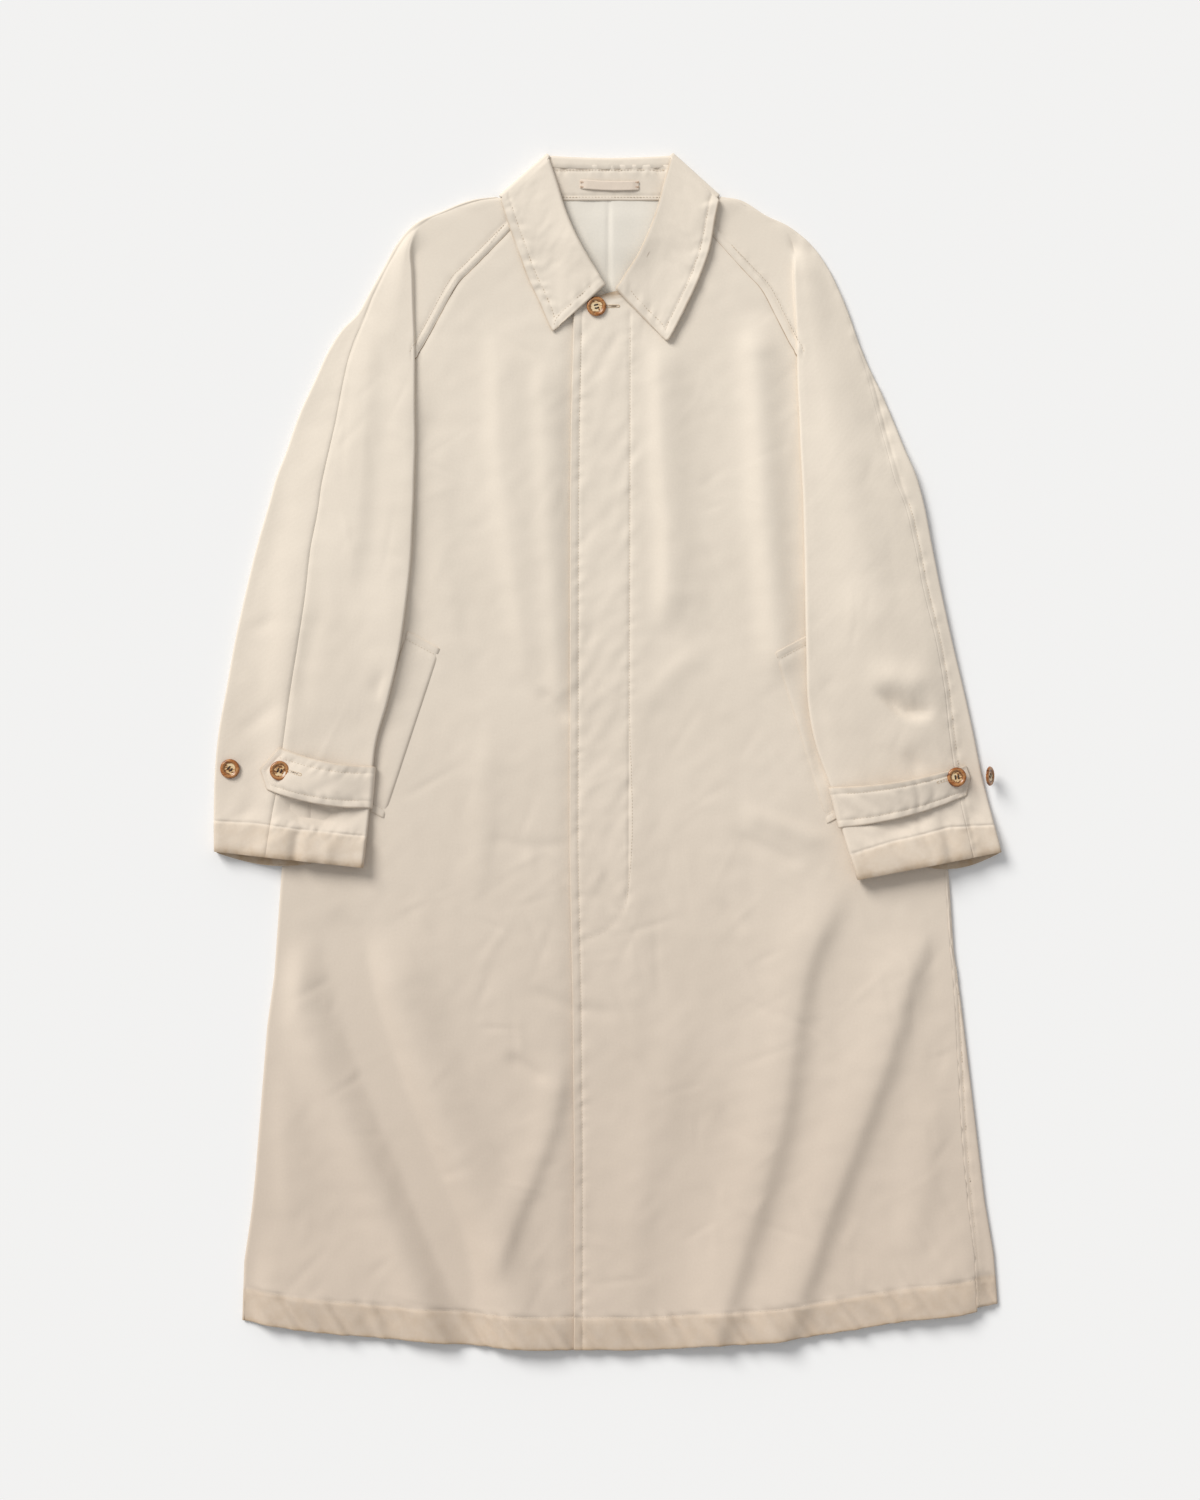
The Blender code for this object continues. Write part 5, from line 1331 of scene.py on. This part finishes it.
def horn_material(dark, amber):
    """Turned and polished horn: polish leaves it smooth and glossy, and its grown layers cloud
    it from dark brown to amber."""
    mat, tree, shader = started("horn_polished", Roughness=0.27, IOR=1.54)
    place = node(tree, "ShaderNodeTexCoord")
    stretch = node(tree, "ShaderNodeMapping", {"Vector": place.outputs["Object"]})
    stretch.inputs["Scale"].default_value = (150.0, 320.0, 150.0)
    cloud = node(tree, "ShaderNodeTexNoise", {"Vector": stretch.outputs["Vector"]},
                 Scale=1.0, Detail=3.0, Distortion=0.8)
    rim = node(tree, "ShaderNodeAttribute", attribute_name="worn_and_shaded", attribute_type="GEOMETRY")
    share = node(tree, "ShaderNodeMath", {0: cloud.outputs["Fac"], 1: rim.outputs["Fac"]},
                 operation="MULTIPLY", use_clamp=True)
    ramp = node(tree, "ShaderNodeValToRGB", {"Fac": share.outputs[0]})
    ramp.color_ramp.elements[0].position = 0.14
    ramp.color_ramp.elements[0].color = rgba(dark)
    ramp.color_ramp.elements[1].position = 0.80
    ramp.color_ramp.elements[1].color = rgba(linear("#E4CDA6"))
    for place_on, shade in ((0.24, linear("#9A5A26")), (0.36, amber), (0.50, dark),
                            (0.60, linear("#8A5830")), (0.68, linear("#D0A873"))):
        ramp.color_ramp.elements.new(place_on).color = rgba(shade)
    tree.links.new(ramp.outputs["Color"], shader.inputs["Base Color"])
    return mat


def gabardine(context):
    """Cotton gabardine: a tight steep twill of fine yarns, which looks smooth and matt."""
    colours = context.scene.coat_colours
    return cloth_material("cotton_gabardine", colours.cloth, colours.worn_and_shaded, 2.4, 0.22, 0.12,
                          FALLOFF_SHADE_TINT)


def declare(replaced):
    """Hides the solids from model.glb that a piece of cloth replaces."""
    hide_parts(*replaced)


class CoatBack(bpy.types.Operator):
    """Back panel, flat on the surface, turned up over the left side fold"""
    bl_idname = "coat.back"
    bl_label = "Back"

    def execute(self, context):
        wall = size_of("wall")
        grid, keep, wear_and_shade = back_grid()
        obj = shell("back_panel", grid, wall, gabardine(context), keep, wear_and_shade)
        declare(["back"])
        return {"FINISHED"}


class CoatFronts(bpy.types.Operator):
    """Both fronts, the left one over the right one at the fly"""
    bl_idname = "coat.fronts"
    bl_label = "Fronts"

    def execute(self, context):
        wall = size_of("wall")
        grid, keep, wear_and_shade = front_right_grid()
        right = shell("right_front", grid, wall, gabardine(context), keep, wear_and_shade)
        grid, wear_and_shade = front_left_grid()
        left = shell("left_front", grid, wall, gabardine(context), None, wear_and_shade)
        declare(["front_right"])
        declare(["front_left"])
        return {"FINISHED"}


class CoatSleeves(bpy.types.Operator):
    """Front and back piece of each raglan sleeve, folded flat along its inner edge"""
    bl_idname = "coat.sleeves"
    bl_label = "Sleeves"

    def execute(self, context):
        wall = size_of("wall")
        cloth = gabardine(context)
        cuts = {"right": ((0.265, 0.70, 0.105), (0.24, 0.70, 0.085)),
                "left": ((0.27, 0.71, 0.122), (0.19, 0.70, 0.048))}
        for side, (cut, back_cut) in cuts.items():
            grid, wear_and_shade = sleeve_front_grid(side)
            front = shell(f"{side}_sleeve_front", grid, wall, cloth, None, wear_and_shade)
            declare([f"sleeve_{side}_front"])
            grid, wear_and_shade = sleeve_back_grid(side)
            back = shell(f"{side}_sleeve_back", grid, wall, cloth, None, wear_and_shade)
            declare([f"sleeve_{side}_back"])
        return {"FINISHED"}


class CoatCollar(bpy.types.Operator):
    """Turn-down collar and its stand behind the neck"""
    bl_idname = "coat.collar"
    bl_label = "Collar"

    def execute(self, context):
        wall = size_of("collar_wall")
        cloth = gabardine(context)
        right, left = collar_half("right"), collar_half("left")
        turns = collar_turn("right"), collar_turn("left")
        parts = [right, turns[0], collar_back(), (turns[1][0][::-1], turns[1][1][::-1]),
                 (left[0][::-1], left[1][::-1])]
        grid = np.concatenate([p[0] for p in parts])
        wear_and_shade = np.concatenate([p[1] for p in parts])
        sizes = np.cumsum([len(p[0]) for p in parts])
        keep = np.ones((len(grid) - 1, grid.shape[1] - 1), bool)
        keep[sizes[0] - 1:sizes[1], :TUCKED] = False
        keep[sizes[2] - 1:sizes[3], :TUCKED] = False
        collar = shell("collar_leaf", grid, wall, cloth, keep, wear_and_shade)
        declare(["collar"])
        grid, wear_and_shade = stand_grid()
        stand = shell("stand", grid, 0.9, cloth, None, wear_and_shade)
        declare(["collar_stand"])
        return {"FINISHED"}


class CoatNeckTrim(bpy.types.Operator):
    """Lining with its ease pleat, and the hanger loop"""
    bl_idname = "coat.neck_trim"
    bl_label = "Neck trim"

    def execute(self, context):
        colours = context.scene.coat_colours
        # Plain cotton: fine even yarns give a quiet surface. Strap: coarser yarns show more
        cotton = cloth_material("lining_cotton", colours.lining, colours.lining, 0.9, 0.2, 0.1)
        strap = cloth_material("strap_cotton", colours.loop, colours.worn_and_shaded, 1.0, 0.4, 0.15)
        lining = shell("neck_lining", lining_grid(), 0.7, cotton)
        declare(["back_lining"])
        loop = shell("neck_loop", loop_grid(), 0.9, strap)
        declare(["hanger_loop"])
        return {"FINISHED"}


class CoatWelts(bpy.types.Operator):
    """Slanted pocket welts"""
    bl_idname = "coat.welts"
    bl_label = "Pocket welts"

    def execute(self, context):
        wall = size_of("wall")
        for side in ("right", "left"):
            grid, wear_and_shade = welt_grid(side)
            obj = shell(f"{side}_welt", grid, wall, gabardine(context), None, wear_and_shade)
            declare([f"pocket_welt_{side}"])
        return {"FINISHED"}


class CoatTabs(bpy.types.Operator):
    """Pointed cuff tabs, bowed off the sleeves"""
    bl_idname = "coat.tabs"
    bl_label = "Cuff tabs"

    def execute(self, context):
        wall = size_of("collar_wall")
        for side in ("right", "left"):
            grid, wear_and_shade = tab_grid(side)
            obj = shell(f"{side}_tab", grid, wall, gabardine(context), None, wear_and_shade)
            declare([f"cuff_tab_{side}"])
        return {"FINISHED"}


def tab_level(side, x, y):
    """Middle of a tab at a point, from its nearest grid point."""
    grid = tab_grid(side)[0].reshape(-1, 3)
    gap = (grid[None, :, 0] - np.ravel(x)[:, None]) ** 2
    gap = gap + (grid[None, :, 1] - np.ravel(y)[:, None]) ** 2
    return grid[np.argmin(gap, axis=1), 2].reshape(np.shape(x))


def surface_of(name):
    """The height function under a button or buttonhole."""
    if "front" in name:
        return left_front_z
    side = "right" if "right" in name else "left"
    if name in ("cuff_button_right_1", "cuff_button_left_2"):
        return lambda x, y: sleeve_top(side, np.abs(x), y)
    return lambda x, y: tab_level(side, x, y)


def button_mesh(width):
    """A disc turned from its profile of (share of the radius, height): rounded back, raised
    rim and dished middle. Rings of 48 points round the axis, a fan at each end."""
    half = width / 2
    profile = [(0.0, 0.0), (0.78, 0.0), (0.93, 0.5), (1.0, 1.3), (0.995, 1.9), (0.95, 2.6),
               (0.88, 3.1), (0.8, 3.25), (0.72, 3.1), (0.66, 2.6), (0.6, 2.15), (0.5, 1.95),
               (0.35, BUTTON_FACE), (0.0, BUTTON_FACE)]
    count = 48
    angle = np.arange(count) * 2 * np.pi / count
    radius = np.array([p[0] for p in profile[1:-1]]) * half
    height = np.array([p[1] for p in profile[1:-1]])
    x = radius[:, None] * np.cos(angle)
    y = radius[:, None] * np.sin(angle)
    z = np.broadcast_to(height[:, None], x.shape)
    points = np.stack([x, y, z], axis=2).reshape(-1, 3)
    points = np.concatenate([points, [[0.0, 0.0, 0.0], [0.0, 0.0, BUTTON_FACE]]])
    rings = len(radius)
    number = np.arange(rings * count).reshape(rings, count)
    after = np.roll(number, -1, axis=1)
    faces = np.stack([number[:-1], after[:-1], after[1:], number[1:]], axis=2).reshape(-1, 4)
    low, high = rings * count, rings * count + 1
    faces = faces.tolist()
    faces += [[low, int(b), int(a)] for a, b in zip(number[0], after[0])]
    faces += [[high, int(a), int(b)] for a, b in zip(number[-1], after[-1])]
    return points, faces


def drilled(points, faces, width):
    """The same disc with four round holes of 1.8 mm cut through it."""
    def scratch(name, p, f):
        mesh = bpy.data.meshes.new(name)
        mesh.from_pydata(p.tolist(), [], f)
        obj = bpy.data.objects.new(name, mesh)
        bpy.context.scene.collection.objects.link(obj)
        return obj
    body = scratch("disc", points, faces)
    ring = np.arange(14) * 2 * np.pi / 14
    made = [body]
    for k in range(4):
        a = np.pi / 4 + k * np.pi / 2
        cx, cy = 0.108 * width * math.cos(a), 0.108 * width * math.sin(a)
        edge = np.stack([cx + 0.9 * np.cos(ring), cy + 0.9 * np.sin(ring), 0 * ring], axis=1)
        tube = np.concatenate([edge - [0, 0, 3], edge + [0, 0, 6]])
        sides = [[i, (i + 1) % 14, 14 + (i + 1) % 14, 14 + i] for i in range(14)]
        cutter = scratch("hole", tube, sides + [list(range(14))[::-1], list(range(14, 28))])
        made.append(cutter)
        cut = body.modifiers.new("hole", "BOOLEAN")
        cut.operation = "DIFFERENCE"
        cut.solver = "EXACT"
        cut.object = cutter
    bpy.context.view_layer.update()
    done = body.evaluated_get(bpy.context.evaluated_depsgraph_get()).to_mesh()
    p = np.array([v.co for v in done.vertices], float)
    f = [list(poly.vertices) for poly in done.polygons]
    for obj in made:
        bpy.data.objects.remove(obj, do_unlink=True)
    return p, f


def turned(points, spin, tilt):
    """Points spun about Z, then tilted about Y."""
    c, s = math.cos(spin), math.sin(spin)
    p = points @ np.array([[c, s, 0], [-s, c, 0], [0, 0, 1]])
    c, s = math.cos(tilt), math.sin(tilt)
    return p @ np.array([[c, 0, -s], [0, 1, 0], [s, 0, c]])


def button_thread(place, spin, tilt, lift):
    """Four bars of thread across a button's holes, and its shank: a ring carried down from
    the tilted button to the cloth."""
    a = np.array([[-2.1, 1.5, 2.2], [-2.1, -1.5, 2.2], [-2.1, 1.9, 2.15], [-2.1, -1.9, 2.15]])
    bars, pattern = stitch_parts(turned(a, spin, tilt) + place,
                                 turned(a * [-1, 1, 1], spin, tilt) + place, 1.0)
    flat = bars.reshape(-1, 3)
    around = np.arange(10) * 2 * np.pi / 10
    ring = 1.6 * np.stack([np.cos(around), np.sin(around)], axis=1)
    low = np.column_stack([ring, np.full(10, -lift - 0.3)]) + place
    high = turned(np.column_stack([ring, np.full(10, 0.3)]), 0.0, tilt) + place
    base = len(flat)
    faces = (pattern[None] + 16 * np.arange(4)[:, None, None]).reshape(-1, 4).tolist()
    faces += [[base + i, base + (i + 1) % 10, base + 10 + (i + 1) % 10, base + 10 + i]
              for i in range(10)]
    faces += [[base + i for i in range(9, -1, -1)], [base + 10 + i for i in range(10)]]
    return np.concatenate([flat, low, high]), faces


def buttonhole(level, start, end):
    """Bars of thread along both lips and in a fan round each end, and a dark strip in the cut
    as painted shade.
    """
    way = unit(end - start)
    side = np.array([-way[1], way[0]])
    middle = start + (end - start) * np.linspace(0.0, 1.0, 24)[:, None]
    spans = [(middle + side * sign * 0.35, middle + side * sign * 1.75)
             for sign in (-1.0, 1.0)]
    for p, sign in ((start, -1.0), (end, 1.0)):
        fan = np.linspace(-1.4, 1.4, 7)[:, None]
        out = way * sign * np.cos(fan) + side * np.sin(fan)
        spans.append((p + out * 0.3, p + out * 1.6))
    bars = []
    for span in spans:
        a, b = [np.column_stack([p, level(p[:, 0], p[:, 1]) + BUTTONHOLE_RISE]) for p in span]
        bars.append(stitch_parts(a, b, 0.62))
    z = level(np.array([start[0], end[0]]), np.array([start[1], end[1]])) + 0.72
    dark = stitch_parts(np.array([[*start, z[0]]]), np.array([[*end, z[1]]]), 0.9)
    return bars, dark


class CoatButtons(bpy.types.Operator):
    """Four-hole horn buttons with their thread, and the worked buttonholes"""
    bl_idname = "coat.buttons"
    bl_label = "Buttons"

    def execute(self, context):
        colours = context.scene.coat_colours
        horn = horn_material(colours.horn, colours.amber)
        thread = thread_material("button_thread", linear("#3A2A20"))
        width = size_of("button")
        points, faces = drilled(*button_mesh(width), width)
        radius = np.hypot(points[:, 0], points[:, 1]) / (width / 2)
        # Amber in the dished middle, darker towards the rim
        amber = np.interp(radius, [0, 0.56, 0.66, 0.85, 1.0], [1.4, 1.4, 0.66, 0.62, 0.42])
        # On a button the mask attribute holds this amber share instead
        for k, (name, (x, y, tilt)) in enumerate(BUTTONS.items()):
            level = float(surface_of(name)(np.array([x]), np.array([y]))[0])
            lift = size_of("wall") / 2 + 0.9 + 9.0 * math.sin(abs(tilt))
            place = np.array([x, y, level + lift])
            spin = 0.25 + 0.5 * k
            body = add_mesh(f"{name}_horn", turned(points, spin, tilt) + place, faces, horn,
                            wear_and_shade=amber, sharp=0.6)
            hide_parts(name)
            sewn = add_mesh(f"{name}_thread", *button_thread(place, spin, tilt, lift), thread)
        thread = thread_material("buttonhole_thread", linear("#CDB79B"))
        # Painted shade: a dark strip laid in each buttonhole's cut
        slit_shade = thread_material("buttonhole_slit", linear("#4A3626"))
        for name, (start, end) in BUTTONHOLES.items():
            bars, dark = buttonhole(surface_of(name), np.array(start), np.array(end))
            add_stitches(name, bars, thread)
            add_stitches(f"{name}_slit", [dark], slit_shade)
        return {"FINISHED"}


class CoatStitching(bpy.types.Operator):
    """Topstitching of fly, hem, raglan and overarm seams, cuffs, collar, tabs and welts"""
    bl_idname = "coat.stitching"
    bl_label = "Stitching"

    def execute(self, context):
        thread = thread_material("topstitch_thread", context.scene.coat_colours.thread)
        half = size_of("wall") / 2 + 0.08
        thick = size_of("collar_wall") / 2 + 0.1
        x = np.linspace(-36.0, 366.0, 200)
        edge = [(p[0] + EDGE_STITCH, p[1]) for p in FLY_EDGE][1:]
        edge = np.array([(-26.5, 418.0)] + edge[:-1] + [(-25.0, HEM_Y + 2.0)])
        left = [along_line(edge, left_front_z, half, 1),
                along_line(spline(FLY_STITCH, 120)[3:], left_front_z, half, 2),
                along_line(np.column_stack([x, hem_y(x) + HEM_DEPTH]), left_front_z, half, 3)]
        add_stitches("left_front_stitching", left, thread)
        x = np.linspace(-359.0, -38.5, 160)
        right = [along_line(np.column_stack([x, hem_y(x) + HEM_DEPTH]), right_front_z, half, 4)]
        add_stitches("right_front_stitching", right, thread)
        y = np.linspace(-215.0, -550.0, 80)
        x = seam_out("left", y) + SIDE_STITCH
        seam = [along_line(np.column_stack([x, y]), back_strip_z, half, 5)]
        add_stitches("side_seam_stitching", seam, thread)
        for side in ("right", "left"):
            def level(x, y, side=side):
                return sleeve_top(side, np.abs(x), y)
            lines_here = [offset_line(raglan(side)[4:], EDGE_STITCH),
                          spline(CUFF_STITCH[side], 60)]
            if side == "left":
                lines_here.append(offset_line(overarm(side)[46:], ARM_STITCH))
            mirror = np.array([SIGN[side], 1.0])
            parts = [along_line(line * mirror, level, half, 6) for line in lines_here]
            add_stitches(f"{side}_sleeve_stitching", parts, thread)
            grid = tab_grid(side)[0][:, TAB_STITCH_COLUMNS]
            ring = np.concatenate([grid[TAB_STITCH_ROW][::-1], grid[-1 - TAB_STITCH_ROW]])
            add_stitches(f"{side}_tab_stitching", [follow(ring, thick)], thread)
            grid = welt_grid(side)[0]
            ends = [follow(grid[row], half) for row in (4, -5)]
            add_stitches(f"{side}_welt_stitching", ends, thread)
            table = spline(COLLAR_FRONT[side], STATIONS)
            outline = np.concatenate([table[:1, 0:2], table[:, 2:4]])
            grid = collar_half(side)[0][:, TUCKED:]
            inner = leaf_stitch_line(grid, outline, side)
            add_stitches(f"{side}_collar_stitching", [follow(inner, thick)], thread)
        x = np.linspace(-52.0, 57.0, 60)
        rows = [follow(np.column_stack([x, y + 0 * x, stand_mid(y + 0 * x)]), 0.55)
                for y in STAND_STITCH_Y]
        add_stitches("stand_stitching", rows, thread)
        strap = thread_material("strap_thread", linear("#C9A98E"))
        ends = []
        for x0 in (LOOP_ENDS[0] + 1.5, LOOP_ENDS[1] - 1.5):
            for shift in (-1.2, 0.0, 1.2):
                y = np.linspace(560.5, 570.0, 8)
                line = np.column_stack([x0 + shift + 0 * y, y, stand_mid(y) + 1.3])
                ends.append(follow(line, 0.75))
        add_stitches("loop_tacks", ends, strap)
        return {"FINISHED"}


def leaf_stitch_line(grid, outline, side):
    """Points on a collar leaf under the topstitching of its front and outer edge: the nearest
    grid point at every 2 mm, then a running mean of five."""
    d, along, long = near_line(grid[..., 0] * SIGN[side], grid[..., 1], outline)
    inward = np.abs(d)
    found = []
    for s in np.arange(10.0, long - 4.0, 2.0):
        score = np.abs(inward - LEAF_STITCH) + 0.8 * np.abs(along - s)
        found.append(grid[np.unravel_index(np.argmin(score), score.shape)])
    line = np.array(found)
    kernel = np.ones(5) / 5
    padded = np.concatenate([line[:1]] * 2 + [line] + [line[-1:]] * 2)
    return np.stack([np.convolve(padded[:, k], kernel, "valid") for k in range(3)], axis=1)


def follow(line, rise):
    """Stitches along a line of points in space, lifted by the given rise."""
    s = run(line)
    pitch = size_of("stitch")
    count = max(2, int(s[-1] / pitch))
    at = (np.arange(count) + 0.5) * s[-1] / count
    ends = [np.stack([np.interp(at + shift * pitch, s, line[:, k]) for k in range(3)], axis=1)
            for shift in (-STITCH_LAY, STITCH_LAY)]
    return stitch_parts(ends[0] + [0, 0, rise], ends[1] + [0, 0, rise], THREAD_WIDTH)


class CoatStage(bpy.types.Operator):
    """Pale floor, soft light from the upper left and a camera straight above"""
    bl_idname = "coat.stage"
    bl_label = "Stage"

    def execute(self, context):
        scene = context.scene
        mesh = bpy.data.meshes.new("floor")
        ring = np.arange(64) * 2 * np.pi / 64
        points = np.column_stack([9 * np.cos(ring), 9 * np.sin(ring), 0 * ring - 0.0006])
        mesh.from_pydata(points.tolist(), [], [list(range(64))])
        floor = bpy.data.objects.new("floor", mesh)
        scene.collection.objects.link(floor)
        # Uncoated paper: loose fibres scatter light evenly and leave no shine
        mat, _, _ = started("studio_paper", Base_Color=rgba(scene.coat_colours.floor),
                            Roughness=0.95, Specular_IOR_Level=0.0)
        mesh.materials.append(mat)
        scene.world = scene.world or bpy.data.worlds.new("studio")
        scene.world.use_nodes = True
        sky = scene.world.node_tree.nodes["Background"]
        sky.inputs["Color"].default_value = (0.985, 0.992, 1.0, 1.0)
        sky.inputs["Strength"].default_value = 0.47
        light = bpy.data.lights.new("softbox", "SUN")
        light.energy = 2.8
        light.angle = math.radians(28.0)
        light.color = (1.0, 0.985, 0.96)
        lamp = bpy.data.objects.new("softbox", light)
        way = unit(np.array(LIGHT_FROM))
        lamp.rotation_euler = (math.acos(way[2]), 0.0, math.atan2(way[0], -way[1]))
        scene.collection.objects.link(lamp)
        data = bpy.data.cameras.new("above")
        data.lens = LENS
        data.sensor_width = SENSOR
        data.clip_end = 50.0
        camera = bpy.data.objects.new("above", data)
        camera.location = (-0.0075, 0.001, PICTURE_HEIGHT * LENS / SENSOR)
        scene.collection.objects.link(camera)
        scene.camera = camera
        scene.view_settings.view_transform = "Standard"
        return {"FINISHED"}


OPERATORS = (CoatBack, CoatFronts, CoatSleeves, CoatNeckTrim, CoatCollar, CoatWelts, CoatTabs,
             CoatButtons, CoatStitching, CoatStage)


class CoatPanel(bpy.types.Panel):
    """Lists the coat's pieces, sizes and colours"""
    bl_idname = "COAT_PT_pieces"
    bl_label = "Balmacaan coat"
    bl_space_type = "VIEW_3D"
    bl_region_type = "UI"
    bl_category = "Coat"

    def draw(self, context):
        for group in (context.scene.coat_sizes, context.scene.coat_colours):
            for key in group.__annotations__:
                self.layout.prop(group, key)
        for kind in OPERATORS:
            self.layout.operator(kind.bl_idname)


CLASSES = (CoatSizes, CoatColours, *OPERATORS, CoatPanel)


def register():
    for kind in CLASSES:
        bpy.utils.register_class(kind)
    bpy.types.Scene.coat_sizes = bpy.props.PointerProperty(type=CoatSizes)
    bpy.types.Scene.coat_colours = bpy.props.PointerProperty(type=CoatColours)


def unregister():
    del bpy.types.Scene.coat_colours
    del bpy.types.Scene.coat_sizes
    for kind in reversed(CLASSES):
        bpy.utils.unregister_class(kind)


def main():
    """Makes every piece in turn."""
    register()
    bpy.ops.coat.back()
    bpy.ops.coat.fronts()
    bpy.ops.coat.sleeves()
    bpy.ops.coat.neck_trim()
    bpy.ops.coat.collar()
    bpy.ops.coat.welts()
    bpy.ops.coat.tabs()
    bpy.ops.coat.buttons()
    bpy.ops.coat.stitching()
    bpy.ops.coat.stage()


if __name__ == "__main__":
    main()
